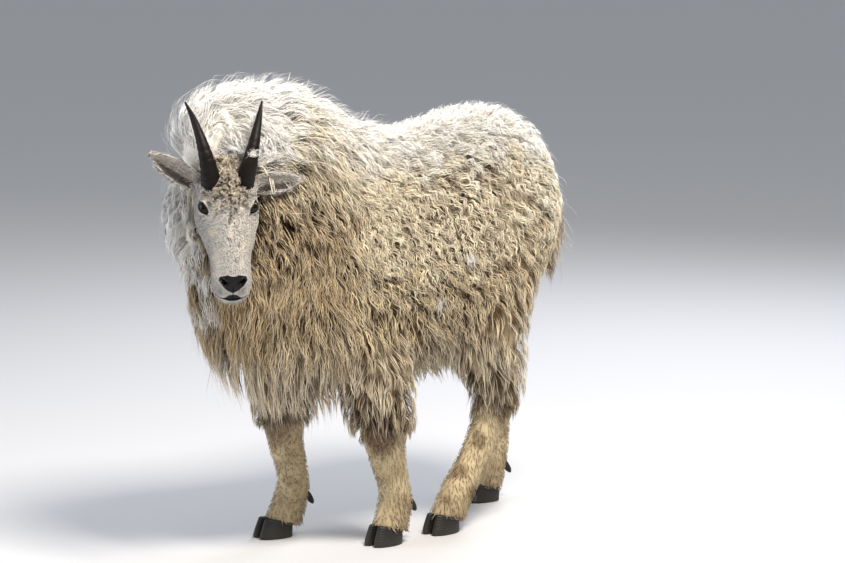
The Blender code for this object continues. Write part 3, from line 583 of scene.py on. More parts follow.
# name, place on the left side, axes, half sizes
BONES = (
    ("cheek", (0.038, 0.075, -0.048), (NOSE, BROW, LEFT), (0.050, 0.040, 0.024)),
    ("cheek bone", (0.037, 0.128, -0.012), (NOSE * 0.98 - BROW * 0.18, BROW, LEFT), (0.050, 0.014, 0.017)),
    ("lip", (0.016, 0.240, -0.030), (NOSE, LEFT, BROW), (0.034, 0.0245, 0.0165)),
    ("horn root", (0.036, 0.040, 0.012), (LEFT, NOSE, BROW), (0.026, 0.027, 0.026)),
    ("wing", (0.0215, 0.244, -0.006), (NOSE, LEFT, BROW), (0.015, 0.0125, 0.012)),
    ("ear root", (0.044, 0.022, -0.014), (LEFT, NOSE, BROW), (0.022, 0.019, 0.019)),
)
SIDES = (("left", 1), ("right", -1))
eye_frames = {}
rings = [
    [on_form(face_form, u, turn, FACE_SHARE) for turn in round_turns(56)]
    for u in np.linspace(0, len(FACE) - 1, 70)
]
pieces = [loft("face", rings)]
for side, sign in SIDES:
    eye = head_point(sign * EYE_AT[0], EYE_AT[1], EYE_AT[2])
    outward = unit(LEFT * sign * 0.66 + NOSE * 0.20 + BROW * 0.72)
    along = NOSE * 0.75 - LEFT * sign * 0.45
    along = unit(along - outward * np.dot(along, outward))
    over = np.cross(outward, along) * -sign
    eye_frames[side] = (eye, along, over, outward)
    axes = (along, over, outward)
    brow = eye + over * 0.013 - along * 0.008 - outward * 0.008
    pieces.append(ball("lid", eye - outward * 0.002, axes, (0.0245, 0.0205, 0.0195)))
    pieces.append(ball("brow", brow, axes, (0.026, 0.012, 0.017)))
    for name, (a, b, c), axes, radii in BONES:
        pieces.append(ball(name, head_point(sign * a, b, c), axes, radii))
pieces.append(ball("chin", head_point(0, 0.247, -0.057), (NOSE, LEFT, BROW), (0.028, 0.0235, 0.013)))
pieces.append(ball("crown", head_point(0, 0.018, 0.026), (LEFT, NOSE, BROW), (0.040, 0.040, 0.024)))
head = melted(joined(pieces, "head skin"), HEAD_VOXEL, HEAD_ROUNDS)
print("Head", len(head.data.polygons), "faces")


# %% Refine the mesh round the eyes and the nose
def head_coords(points):
    """Places in the head's own axes."""
    offset = points - SHIFT - HEAD_AT
    return np.stack((offset @ LEFT, offset @ NOSE, offset @ BROW), axis=-1)


def eye_coords(points, side):
    """Places seen from one eye: along the lids, towards the brow, outward."""
    eye, along, over, outward = eye_frames[side]
    offset = points - SHIFT - eye
    return offset @ along, offset @ over, offset @ outward


def refine(made, chosen):
    """Cuts every edge whose two ends are chosen."""
    shape = bmesh.new()
    shape.from_mesh(made.data)
    shape.verts.ensure_lookup_table()
    edges = [e for e in shape.edges if chosen[e.verts[0].index] and chosen[e.verts[1].index]]
    bmesh.ops.subdivide_edges(shape, edges=edges, cuts=1, use_grid_fill=True)
    bmesh.ops.triangulate(shape, faces=[f for f in shape.faces if len(f.verts) > 4])
    shape.to_mesh(made.data)
    shape.free()


def near_details(points, reach, front):
    near = head_coords(points)[:, 1] > front
    for side in eye_frames:
        x, y, z = eye_coords(points, side)
        near |= (x**2 + y**2 < reach**2) & (z > 0)
    return near


refine(head, near_details(points_of(head), 0.026, 0.222))
refine(head, near_details(points_of(head), 0.021, 0.245))
print("Head", len(head.data.polygons), "faces after refining")


# %% Press in the lids
def smooth(x, low, high):
    """0 under low, 1 over high, and a soft step between them."""
    t = np.clip((x - low) / (high - low), 0, 1)
    return t * t * (3 - 2 * t)


def bell(x, middle, width):
    """1 at the middle, falling softly to 0 on both sides."""
    return np.exp(-(((x - middle) / width) ** 2))


LID_HALF, LID_RISE, LID_DROP = 0.0182, 0.0096, 0.0078


def lid_gap(x, y):
    """How far inside the opening of the lids a place lies: above 0 is inside."""
    reach = np.clip(1 - np.abs(x / LID_HALF) ** 2.2, 0, 1) ** 0.75
    tilt = y - 0.06 * x
    edge = np.where(tilt > 0, LID_RISE, LID_DROP) * reach
    return edge - np.abs(tilt)


points = points_of(head)
for side in eye_frames:
    outward = eye_frames[side][3]
    x, y, z = eye_coords(points, side)
    near = (z > 0) & (x**2 + y**2 < 0.028**2)
    reach = np.sqrt(x**2 + y**2)
    gap = lid_gap(x, y)
    thick = np.where(y > 0, 0.0030, 0.0021)
    lid = np.sqrt(np.clip((EYE_RADIUS + thick) ** 2 - reach**2, 0, None))
    lid = lid - (0.0012 * bell(gap, -0.0052, 0.0012) + 0.0007 * bell(gap, -0.0088, 0.0012))
    inside = np.sqrt(np.clip((EYE_RADIUS - 0.004) ** 2 - reach**2 * 0.6, 0, None))
    open_share = smooth(gap, -0.0004, 0.0006)
    wanted = lid * (1 - open_share) + inside * open_share
    hold = np.maximum(1 - smooth(reach, 0.0135, 0.0215), open_share)
    moved = z + (wanted - z) * hold
    points[near] += (moved - z)[near, None] * outward
set_points(head, points)

# %% [markdown]
# The nostrils are two slanting commas with a raised rim. The groove of the upper lip
# runs down from between them, and the line of the mouth goes back along both sides.

# %% Press in the nostrils and the mouth
def mouth_level(b):
    """How far the mouth lies from the line of the face, measured down from it."""
    return -0.036 + 0.006 * smooth(b, 0.250, 0.275)


def nostril(local, sign):
    """How deep inside a nostril a place lies, 1 at its middle and 0 at its rim."""
    a, b, c = local[:, 0] * sign, local[:, 1], local[:, 2]
    x, y = a - 0.0205, b - 0.2500
    across = x * 0.80 - y * 0.60
    along = x * 0.60 + y * 0.80 + 28 * across**2
    size = (across / 0.0098) ** 2 + (along / 0.0044) ** 2
    return np.where(c > -0.030, 1 - size, -9)


points = points_of(head)
normals = normals_of(head)
local = head_coords(points)
distance = np.abs(local[:, 2] - mouth_level(local[:, 1]))
front = smooth(local[:, 1], 0.190, 0.215)
groove = -0.0030 * bell(distance, 0, 0.0011) + 0.0011 * bell(distance, 0.0052, 0.0032)
move = groove * front
for sign in (1, -1):
    deep = nostril(local, sign)
    move += -0.0095 * smooth(deep, 0.0, 0.9) + 0.0011 * bell(deep, -0.45, 0.4)
philtrum = bell(local[:, 0], 0, 0.0011) * smooth(local[:, 1], 0.255, 0.262)
move += -0.0018 * philtrum * smooth(local[:, 2], -0.032, -0.028)
points += normals * move[:, None]
set_points(head, points)
print("Mouth and nostrils move the skin by up to", round(float(np.abs(move).max()) * 1000, 1), "mm")

# %% [markdown]
# ## The ears
# Each ear is a leaf rolled into a cup: a curved back, a hollow front and a rim between.
# Both are lofted along a bent line, closed at the tip, and fused to the head.


# %% Loft the two ears
EAR_RING, EAR_STEPS, EAR_RIM = 30, 34, 0.0011
EAR_FACING = NOSE * 0.62 + BROW * 0.78
EAR_FLAT = NOSE * 0.78 - BROW * 0.62


def ear_rings(rows, sign):
    last = len(rows) - 1
    rings = []
    for u in np.linspace(0, last, EAR_STEPS):
        a, b, c, half = row_at(rows, u)
        centre = head_point(sign * a, b, c)
        ahead, behind = (row_at(rows, v)[:3] for v in (min(u + 0.2, last), max(u - 0.2, 0)))
        tangent = unit(head_point(sign * ahead[0], *ahead[1:]) - head_point(sign * behind[0], *behind[1:]))
        side = unit(EAR_FLAT - tangent * (EAR_FLAT @ tangent))
        deep = half * 0.66
        hollow = deep * min(1.0, 0.25 + 0.5 * u)
        ring = []
        for s in np.linspace(-1, 1, EAR_RING // 2):
            ring.append(centre + side * half * s - EAR_FACING * (deep * (1 - s * s) + EAR_RIM))
        for s in np.linspace(0.94, -0.94, EAR_RING // 2):
            ridge = 0.0010 * math.cos(s * 14) * (1 - abs(s)) * min(1.0, u)
            sunk = (hollow - 0.0035) * (1 - s * s) - EAR_RIM + ridge
            ring.append(centre + side * half * s - EAR_FACING * sunk)
        rings.append(ring)
    return rings


def search_tree(points):
    """Finds the nearest of these points quickly."""
    tree = KDTree(len(points))
    for k, point in enumerate(points):
        tree.insert(point, k)
    tree.balance()
    return tree


ears = []
for rows, sign in ((EAR_LEFT, 1), (EAR_RIGHT, -1)):
    ears.append(relaxed(loft("ear", ear_rings(rows, sign)), 2))
ear_points = np.vstack([points_of(ear) for ear in ears])
ear_tree = search_tree(ear_points)
ear_size = len(ear_points) // 2
fused(skin, [head, *ears])
skin.data.shade_smooth()
print("One skin of", len(skin.data.polygons), "faces")

# %% [markdown]
# ## Hooves and dewclaws
# A mountain goat walks on two toes per foot, each a blunt wedge of black horn with a flat
# sole, and carries two small dewclaws behind. Horn grows down from the coronet, so its
# rings run level. Each toe is a loft of one outline whose corners are rounded by reading
# it on a smooth curve.

# %% Model the toes and dewclaws
TOE = (
    (0.0035, -0.030),
    (0.0035, 0.000),
    (0.0035, 0.024),
    (0.0080, 0.041),
    (0.0160, 0.044),
    (0.0265, 0.033),
    (0.0335, 0.012),
    (0.0340, -0.012),
    (0.0280, -0.031),
    (0.0150, -0.037),
)
# share of the way up to the coronet, swelling, how far back it leans
TOE_RINGS = (
    (0.00, 0.930, 0.0000),
    (0.00, 0.985, 0.0000),
    (0.03, 1.000, 0.0000),
    (0.12, 1.025, 0.0000),
    (0.30, 1.000, 0.0010),
    (0.50, 0.970, 0.0030),
    (0.70, 0.930, 0.0050),
    (0.85, 0.905, 0.0068),
    (0.95, 0.890, 0.0078),
    (1.00, 0.860, 0.0082),
    (1.04, 0.800, 0.0084),
)
TOE_INNER, CLEFT_HALF, SOLE_STEP = 0.0035, 0.0028, 0.0006
# share of the way to the tip, size
CLAW_RINGS = ((0, 0.92), (0.2, 1.0), (0.45, 0.96), (0.65, 0.85), (0.8, 0.68), (0.92, 0.42), (0.985, 0.16))
CLAW_RADIUS = 0.0092


def toe_outline(count=44):
    """The outline of a toe on a closed smooth curve, outward and forward."""
    rows = np.array(TOE)
    made = []
    for u in np.linspace(0, len(rows), count, endpoint=False):
        near = (rows[(int(u) + step) % len(rows)] for step in (-1, 0, 1, 2))
        place = between(*near, u - int(u))
        made.append((max(place[0], CLEFT_HALF), place[1]))
    return made


def toe_rings(middle, forward, outward, sign):
    rings = []
    for number, (share, swell, back) in enumerate(TOE_RINGS):
        ring = []
        for a, b in toe_outline():
            a, b = TOE_INNER + (a - TOE_INNER) * swell, b * swell - back
            place = middle + outward * sign * a + forward * b
            place[2] = share * (CORONET_HEIGHT + CORONET_SLOPE * b) + SOLE_STEP * (number == 1)
            ring.append(place)
        rings.append(ring)
    return rings


hooves = []
for name, rows, split, foot, toe_turn in LEGS:
    middle, forward, outward = foot_frame(foot, toe_turn)
    form, last = forms[name][0], len(rows) - 1
    left_side = name.endswith("left")
    for sign in (1, -1):
        end = "outer" if (sign == 1) == left_side else "inner"
        toe = loft(f"hoof_{name}_{end}", toe_rings(middle, forward, outward, sign))
        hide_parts(f"toe_{name}_{end}")
        centre, _, _, _, half_up, _ = form(last - 1, 1.0)
        base = centre - forward * (half_up - 0.010) + outward * sign * 0.017 + UP * 0.008
        tip = centre - forward * (half_up + 0.006) + outward * sign * 0.020 - UP * 0.018
        axis = unit(tip - base)
        side = unit(np.cross(axis, UP))
        over = np.cross(side, axis)
        rings = []
        for t, size in CLAW_RINGS:
            flat = (side * math.cos(w) * 1.15 + over * math.sin(w) * 0.85 for w in round_turns(18))
            rings.append([base + (tip - base) * t + way * CLAW_RADIUS * size for way in flat])
        claw = loft(f"claw_{name}_{end}", rings)
        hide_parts(f"dewclaw_{name}_{end}")
        hooves += [toe, claw]
print(len(hooves), "hooves and dewclaws")

# %% [markdown]
# ## The horns
# Both billies and nannies carry short black horns that lean out and curve back. The horn
# sheath grows in rings: close and strong at the base, fading to a smooth sharp tip.
# Geometry Nodes suit this: a profile runs along the horn's line, and every ring is the
# same small swelling, so the tree takes the number of rings and their height as inputs.


# %% Grow the horns with Geometry Nodes
def socket_in(tree, name, kind, value=None):
    made = tree.interface.new_socket(name, in_out="INPUT", socket_type=kind)
    if value is not None:
        made.default_value = value
    return made.identifier


ringed = bpy.data.node_groups.new("ringed horn", "GeometryNodeTree")
ringed.is_modifier = True
socket_in(ringed, "Geometry", "NodeSocketGeometry")
inputs = {
    name: socket_in(ringed, name, kind, value)
    for name, kind, value in (
        ("Steps along", "NodeSocketInt", 170),
        ("Sides", "NodeSocketInt", 32),
        ("Ring count", "NodeSocketFloat", 13.0),
        ("Ring height", "NodeSocketFloat", 0.0011),
        ("Grain height", "NodeSocketFloat", 0.00035),
        ("Seed", "NodeSocketFloat", 3.0),
        ("Material", "NodeSocketMaterial", None),
    )
}
ringed.interface.new_socket("Geometry", in_out="OUTPUT", socket_type="NodeSocketGeometry")
given = add_node(ringed, "NodeGroupInput").outputs
sampled = add_node(
    ringed, "GeometryNodeResampleCurve", [("Curve", given["Geometry"]), ("Count", given["Steps along"])]
)
along = add_node(ringed, "GeometryNodeSplineParameter")
kept = ringed.nodes.new("GeometryNodeCaptureAttribute")
kept.domain = "POINT"
kept.capture_items.new("FLOAT", "Along")
ringed.links.new(sampled.outputs["Curve"], kept.inputs["Geometry"])
ringed.links.new(along.outputs["Factor"], kept.inputs["Along"])
share_along = kept.outputs["Along"]
profile = add_node(ringed, "GeometryNodeCurvePrimitiveCircle", [("Resolution", given["Sides"])], Radius=1.0)
radius = add_node(ringed, "GeometryNodeInputRadius")
around = [("Profile Curve", profile), ("Scale", radius)]
tube = add_node(ringed, "GeometryNodeCurveToMesh", [("Curve", kept), *around], Fill_Caps=True)
place = add_node(ringed, "GeometryNodeInputPosition")
uneven = add_node(
    ringed, "ShaderNodeTexNoise", [("Vector", place), ("W", given["Seed"])],
    noise_dimensions="4D", Scale=38.0, Detail=2.0,
)
bend = add_node(ringed, "ShaderNodeMath", [(0, uneven)], [(1, 0.10)], operation="MULTIPLY")
warped = add_node(ringed, "ShaderNodeMath", [(0, share_along), (1, bend)], operation="ADD")
count = add_node(ringed, "ShaderNodeMath", [(0, warped), (1, given["Ring count"])], operation="MULTIPLY")
phase = add_node(ringed, "ShaderNodeMath", [(0, count)], operation="FRACT")
wave = add_node(ringed, "ShaderNodeFloatCurve", [("Value", phase)])
fade = add_node(
    ringed, "ShaderNodeMapRange", [("Value", share_along)],
    From_Min=0.30, From_Max=0.72, To_Min=1.0, To_Max=0.04,
)
height = add_node(ringed, "ShaderNodeMath", [(0, wave), (1, given["Ring height"])], operation="MULTIPLY")
faded = add_node(ringed, "ShaderNodeMath", [(0, height), (1, fade)], operation="MULTIPLY")
stretch = add_node(
    ringed, "ShaderNodeVectorMath", [(0, place)], [(1, (1.0, 1.0, 0.16))], operation="MULTIPLY"
)
grain = add_node(
    ringed, "ShaderNodeTexNoise", [("Vector", stretch)],
    noise_dimensions="3D", Scale=420.0, Detail=2.0,
)
fine = add_node(ringed, "ShaderNodeMath", [(0, grain), (1, given["Grain height"])], operation="MULTIPLY")
total = add_node(ringed, "ShaderNodeMath", [(0, faded), (1, fine)], operation="ADD")
facing = add_node(ringed, "GeometryNodeInputNormal")
offset = add_node(ringed, "ShaderNodeVectorMath", [(0, facing), ("Scale", total)], operation="SCALE")
moved = add_node(ringed, "GeometryNodeSetPosition", [("Geometry", tube), ("Offset", offset)])
realised = add_node(ringed, "GeometryNodeRealizeInstances", [("Geometry", moved)])
painted = add_node(
    ringed, "GeometryNodeSetMaterial",
    [("Geometry", realised), ("Material", given["Material"])],
)
add_node(ringed, "NodeGroupOutput", [("Geometry", painted)])
curve = wave.mapping.curves[0]
curve.points[0].location, curve.points[1].location = (0.0, 0.0), (1.0, 0.0)
for where in ((0.25, 0.35), (0.62, 1.0), (0.86, 0.75)):
    curve.points.new(*where)
wave.mapping.update()

horn_material, horn_tree, horn_shader = new_material("keratin_horn_sheath", "#1E1A19", 0.42)


def horn_line(sign):
    data = bpy.data.curves.new("horn line", "CURVE")
    data.dimensions = "3D"
    line = data.splines.new("POLY")
    places = np.linspace(0, len(HORN) - 1, 60)
    line.points.add(len(places) - 1)
    for point, u in zip(line.points, places):
        a, b, c, half = row_at(HORN, u)
        point.co = (*(head_point(sign * a, b, c) + SHIFT), 1)
        point.radius = max(half * (1.0 + 0.07 * math.sin(u)), 0.0006)
    return placed("horn line", data)


horns = []
for side, sign in SIDES:
    line = horn_line(sign)
    grow = line.modifiers.new("grow", "NODES")
    grow.node_group = ringed
    grow[inputs["Seed"]] = 3.0 if sign == 1 else 8.0
    grow[inputs["Material"]] = horn_material
    bpy.context.view_layer.update()
    mesh = bpy.data.meshes.new_from_object(line.evaluated_get(bpy.context.evaluated_depsgraph_get()))
    drop(line)
    horn = placed(f"horn_sheath_{side}", mesh)
    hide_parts(f"horn_{side}")
    horns.append(horn)
print("Horns", [len(horn.data.polygons) for horn in horns], "faces")

# %% [markdown]
# ## The eyes
# The eye is a ball with a slightly bulged clear front. At this distance it reads as nearly
# black: a dark brown iris round a wide level pupil. One glossy coat over the colour gives
# the wet highlight, and the lids of the skin cover all but the front.

# %% Turn the eyeballs
IRIS, BALL = np.array(hex_colour("#1A110B")), np.array(hex_colour("#0E0B0A"))
eyes = []
for side, (eye, along, over, outward) in eye_frames.items():
    rings = []
    for height in np.linspace(0.02, math.pi - 0.02, 40):
        reach = EYE_RADIUS * (1 + 0.055 * math.exp(-((height / 0.55) ** 4)))
        wide, deep = math.sin(height) * reach, outward * math.cos(height) * reach
        middle = eye + deep
        rings.append([middle + (along * math.cos(w) + over * math.sin(w)) * wide for w in round_turns(56)])
    made = loft(f"eyeball_{side}", rings)
    x, y, z = eye_coords(points_of(made), side)
    level = unit(np.cross(outward, UP))
    flat = (points_of(made) - SHIFT - eye) @ level
    rise = (points_of(made) - SHIFT - eye) @ np.cross(level, outward)
    pupil = smooth(1 - ((flat / 0.0066) ** 4 + (rise / 0.0030) ** 4), -0.3, 0.3)
    reach = np.sqrt(x**2 + y**2)
    iris = 1 - smooth(reach, 0.0108, 0.0122)[:, None]
    rays = 0.85 + 0.3 * np.abs(np.sin(np.arctan2(y, x) * 23)) * smooth(reach, 0.003, 0.010)
    colour = (BALL * (1 - iris) + IRIS * rays[:, None] * iris) * (1 - 0.95 * pupil[:, None])
    paint_on(made, "eye_colour", colour, np.ones(len(colour)))
    made.data.shade_smooth()
    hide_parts(f"eye_{side}")
    eyes.append(made)
eye_material, tree, shader = new_material("wet_eye", "#1A120C", 0.12)
paint = add_node(tree, "ShaderNodeAttribute", attribute_name="eye_colour")
feed(tree, shader, Base_Color=paint.outputs["Color"])
shader.inputs["Coat Weight"].default_value = 0.28
shader.inputs["Coat Roughness"].default_value = 0.03
shader.inputs["Specular IOR Level"].default_value = 0.1
give(eyes, eye_material)
print("Eyes", len(eyes))

# %% [markdown]
# ## Markings
# The goat is white on the mane and along the back, cream on the flanks and tan where long
# hair hangs in the shade. Soil has stained the knees, the forehead and one side of the
# ruff. One function gives the colour of any place on the body, so that the skin and every
# tuft that grows from it agree. It uses soft-edged balls and bands, and a little noise.

# %% Colours of the coat by place
def colours_of(*codes):
    return [np.array(hex_colour(code)) for code in codes]


WHITE, CREAM, TAN, SHADE = colours_of("#FBFAF7", "#F6EAD0", "#E8D5AE", "#C2A26C")
LEG, FACE_WHITE, SOIL = colours_of("#C8B692", "#B5B2AD", "#6E543A")
PAD, EAR_SKIN, EAR_DEPTH = colours_of("#0B0909", "#CBBDA6", "#3A2E26")


def wobble(points, size, seed):
    """Smooth noise from -1 to 1: a few waves of about the given size in mixed directions."""
    dice = np.random.default_rng(seed)
    total = np.zeros(len(points))
    for _ in range(7):
        way = unit(dice.normal(size=3)) * (2 * math.pi / size) * dice.uniform(0.6, 1.6)
        total += np.sin(points @ way + dice.uniform(0, 6.28))
    return total / 3.2


def spot(points, centre, radius, soft):
    """1 inside a ball, 0 outside, soft at its edge."""
    return 1 - smooth(np.linalg.norm(points - np.asarray(centre), axis=1), radius, radius + soft)


def mix(colour, other, share):
    return colour * (1 - share[:, None]) + np.asarray(other) * share[:, None]


def layered(colour, layers):
    """Lays the colours one over the other, each by its share at every place."""
    for other, share in layers:
        colour = mix(colour, other, share)
    return colour


def body_colour(points):
    """The colour of the coat's roots, with places in the rows' own frame."""
    x, y, z = points.T
    rough = 0.035 * wobble(points, 0.11, 1) + 0.02 * wobble(points, 0.05, 2)
    top, bottom = (np.interp(y, [row[0] for row in TRUNK], [row[k] for row in TRUNK]) for k in (1, 2))
    level = (z - bottom) / np.maximum(top - bottom, 0.05)
    front, across = -y, -(0.64 * x + 0.77 * y)
    ridge = smooth(level + 2 * rough, 0.72, 1.10) * (1 - smooth(front, 0.15, 0.28))
    puff = smooth(across + 0.5 * rough, 0.15, 0.19)
    shade = smooth(front + rough, 0.16, 0.28) * smooth(z, 0.45, 0.6) * (1 - smooth(z, 0.72, 0.84))
    ruff = smooth(across + rough, 0.345, 0.395) * smooth(front, 0.20, 0.30)
    patch = smooth(wobble(points, 0.07, 7), 0.2, 0.8) * (1 - smooth(z, 0.30, 0.42))
    clots = smooth(wobble(points, 0.018, 8) + 0.5 * wobble(points, 0.05, 9), 0.75, 1.1)
    clots = clots * smooth(across, 0.36, 0.40) * smooth(z, 0.68, 0.74)
    matted = smooth(wobble(points, 0.030, 10), 0.35, 0.9)
    layers = (
        (TAN, 0.85 * (1 - smooth(level + rough * 3, 0.15, 0.62))),
        (TAN, 0.55 * smooth(front + rough, 0.10, 0.30) * (1 - smooth(z, 0.80, 0.92))),
        (SHADE, 0.45 * (1 - smooth(level + rough * 2, 0.0, 0.22))),
        (WHITE, 0.9 * ridge * smooth(z, 0.6, 0.8)),
        (WHITE, 0.85 * smooth(front, 0.05, 0.20) * smooth(z + 1.5 * rough, 0.89, 1.02)),
        (WHITE, puff * smooth(z + 0.5 * rough, 0.855, 0.900)),
        (WHITE, 0.38 * smooth(y + 2 * rough, 0.26, 0.52) * smooth(z + rough, 0.55, 0.85)),
        (SHADE, 0.45 * shade),
        (WHITE, 0.95 * ruff * smooth(z + 2 * rough, 0.50, 0.66)),
        (CREAM, 0.55 * smooth(y + 2 * rough, 0.14, 0.28) * (1 - smooth(z, 0.55, 0.70))),
        (CREAM, 0.75 * (1 - smooth(z + rough, 0.42, 0.50))),
        (LEG, 1 - smooth(z + rough, 0.28, 0.36)),
        (SOIL, 0.85 * spot(points, (0.165, -0.125, 0.252), 0.030, 0.035)),
        (SOIL, 0.60 * spot(points, (-0.105, -0.220, 0.245), 0.024, 0.035)),
        (SOIL, 0.45 * (1 - smooth(z + rough, 0.03, 0.12))),
        (SOIL, patch * (0.35 + 0.35 * smooth(y, 0, 0.1))),
        (SOIL, 0.22 * spot(points, (-0.075, -0.440, 0.760), 0.03, 0.10)),
        (SOIL, 0.6 * clots * (1 - smooth(z, 0.86, 0.90))),
        (SOIL, 0.70 * matted * spot(points, (0.190, 0.130, 0.800), 0.06, 0.12)),
    )
    colour = layered(np.tile(CREAM, (len(points), 1)), layers)
    return colour * (1 + 0.05 * wobble(points, 0.03, 3))[:, None]


def face_colour(points):
    """The colour of the head's short hair, from the head's own axes."""
    a, b, c = head_coords(points + SHIFT).T
    speck = smooth(wobble(points, 0.008, 5) + 0.5 * wobble(points, 0.02, 6), 0.55, 0.95)
    forehead = bell(a, 0, 0.034) * smooth(c, -0.02, 0.02)
    layers = (
        (CREAM, 0.25 * smooth(wobble(points, 0.03, 4), 0.0, 0.8)),
        (CREAM, 0.6 * forehead * (1 - smooth(b, 0.05, 0.12))),
        (SOIL, 0.80 * speck * forehead * (1 - smooth(b, 0.19, 0.24))),
        (SOIL, 0.12 * forehead * (1 - smooth(b, 0.06, 0.13))),
    )
    return layered(np.tile(FACE_WHITE, (len(points), 1)), layers)


def ear_share(points):
    """1 on the ears, 0 elsewhere, how far out along the ear, and where across its hollow."""
    found = [ear_tree.find(point) for point in points + SHIFT]
    gap = np.array([entry[2] for entry in found])
    order = np.array([entry[1] % ear_size for entry in found])
    spot_in_ring = order % EAR_RING
    hollow = spot_in_ring >= EAR_RING // 2
    step = (spot_in_ring - EAR_RING // 2) / (EAR_RING // 2 - 1)
    across = np.where(hollow, 0.94 * (1 - 2 * step), -1)
    return 1 - smooth(gap, 0.0026, 0.0040), order / ear_size, across


# how far down the muzzle, and the half width of the nose pad there
PAD_WIDTHS = ((0.2140, 0.2185, 0.2260, 0.2400, 0.2480, 0.2540), (0.0, 0.0285, 0.0312, 0.0215, 0.0125, 0.0))


def pad_share(local):
    """How much a place lies on the nose pad: a broad heart with a short stem to the lip."""
    a, b, c = np.abs(local[:, 0]), local[:, 1], local[:, 2]
    down = 0.927 * b - 0.375 * c
    wide = np.interp(down, *PAD_WIDTHS)
    notch = 0.0052 * bell(a, 0, 0.012) * (down < 0.230)
    return smooth(wide - a - notch, -0.0012, 0.0012) * (down - notch > 0.2140) * (c > -0.047)


def bare_share(points):
    """Nose pad, mouth and lid edges: 1 where the skin is bare and dark."""
    local = head_coords(points + SHIFT)
    share = pad_share(local)
    rise = local[:, 2] - mouth_level(local[:, 1])
    middle = (1 - smooth(np.abs(local[:, 0]), 0.004, 0.024)) * smooth(local[:, 1], 0.24, 0.26)
    thick = 0.0010 + (0.0024 + 0.0062 * smooth(rise, -0.001, 0.001)) * middle
    lips = 1 - smooth(np.abs(rise), thick, thick + 0.0016)
    share = np.maximum(share, lips * smooth(local[:, 1], 0.20, 0.235))
    for side in eye_frames:
        x, y, z = eye_coords(points + SHIFT, side)
        edge = smooth(lid_gap(x, y), -0.0022, -0.0006)
        corner = bell(x, LID_HALF, 0.004) * bell(y, -0.002, 0.0016)
        share = np.maximum(share, np.maximum(edge, corner) * (z > 0.004) * (x**2 + y**2 < 0.026**2))
    return np.clip(share, 0, 1)


print("Cream in linear colour", np.round(CREAM, 3))

# %% [markdown]
# The skin keeps its colour in an attribute on its vertices, and in the alpha the share of
# bare dark skin, which the material makes smoother and moister than the short hair.
# Under long hair the skin is darkened with painted shade, most where the coat is tan, to give depth.

# %% Paint the skin
DARK_PAINTED_SHADE, PALE_PAINTED_SHADE = np.array((0.16, 0.115, 0.07)), np.array((0.94, 0.91, 0.85))
places = points_of(skin) - SHIFT
local = head_coords(places + SHIFT)
wide, along, rise = np.abs(local[:, 0]), local[:, 1], local[:, 2]
on_head = smooth(along, -0.035, 0.000) * (wide < 0.068) * (rise > -0.112) * (along < 0.3)
ear_zone, ear_reach, ear_across = ear_share(places)
on_head = np.maximum(on_head, ear_zone)
bare = bare_share(places) * (along > 0.03) * (along < 0.3) * (wide < 0.07) * (rise > -0.1)
colour = body_colour(places)
headed = on_head > 0
colour[headed] = mix(colour[headed], face_colour(places[headed]), on_head[headed])
inner_ear = ear_zone * smooth(normals_of(skin) @ unit(EAR_FACING), 0.25, 0.7)
slit = smooth(ear_across, 0.05, 0.30) * (1 - smooth(ear_across, 0.78, 0.92))
slit = slit * (1 - smooth(ear_reach, 0.72, 0.95))
ear_layers = (WHITE, 0.42 * ear_zone), (EAR_SKIN, 0.45 * inner_ear), (EAR_DEPTH, 0.9 * ear_zone * slit)
colour = layered(colour, (*ear_layers, (PAD, bare)))
pale = smooth(colour.mean(1), 0.62, 0.88)[:, None]
# painted shade: the skin under long hair is darkened, strongly under tan hair and faintly under pale hair
under = colour * (DARK_PAINTED_SHADE * (1 - pale) + PALE_PAINTED_SHADE * pale)
shown = np.maximum(on_head, 1 - smooth(places[:, 2], 0.24, 0.32))[:, None]
paint_on(skin, "coat_colour", under * (1 - shown) + colour * shown, bare)
print("Bare skin on", int((bare > 0.5).sum()), "of", len(bare), "vertices")

# %% [markdown]
# ## How the coat grows
# Mountain goats carry a thick woolly undercoat with long guard hair over it. Seen from a
# few steps away it reads as locks: strands that share a root area and pinch together
# towards the tip. So the coat is made in two steps. A guide line is combed for each lock:
# it leaves the skin, follows the lie of the hair there and stays over the skin at the
# coat's depth, or hangs free. Then each guide is turned into a handful of thin tapered
# strands with three sides. Joined arrays are the quickest way to make so many.

# %% Read the skin: triangles, zones and the coat's depth
mesh = skin.data
mesh.calc_loop_triangles()
corners = read_all(mesh.loop_triangles, "vertices", np.int32)
skin_places = places
skin_normals = normals_of(skin)
skin_colours = colour
skin_bare = bare
skin_tree = BVHTree.FromPolygons(skin_places.tolist(), corners.tolist())

ZONES = ["trunk", "neck", "tail", "fore_left", "fore_right", "hind_left", "hind_right", "face"]
grid = []
for zone, name in enumerate(ZONES):
    form, rows = (face_form, FACE) if name == "face" else forms[name]
    first = 0.8 if name == "face" else 0
    for u in np.linspace(first, len(rows) - 1, 40):
        for turn in round_turns(26):
            inner = on_form(form, u, turn, FACE_SHARE if name == "face" else SKIN_SHARE)
            grid.append((inner, zone, u, np.linalg.norm(on_form(form, u, turn, 1.0) - inner)))
zone_tree = search_tree([entry[0] for entry in grid])
grid_facts = np.array([entry[1:] for entry in grid])


def facts_at(points):
    """Zone, place along its form and coat depth of each point."""
    return grid_facts[[zone_tree.find(point)[1] for point in points]]


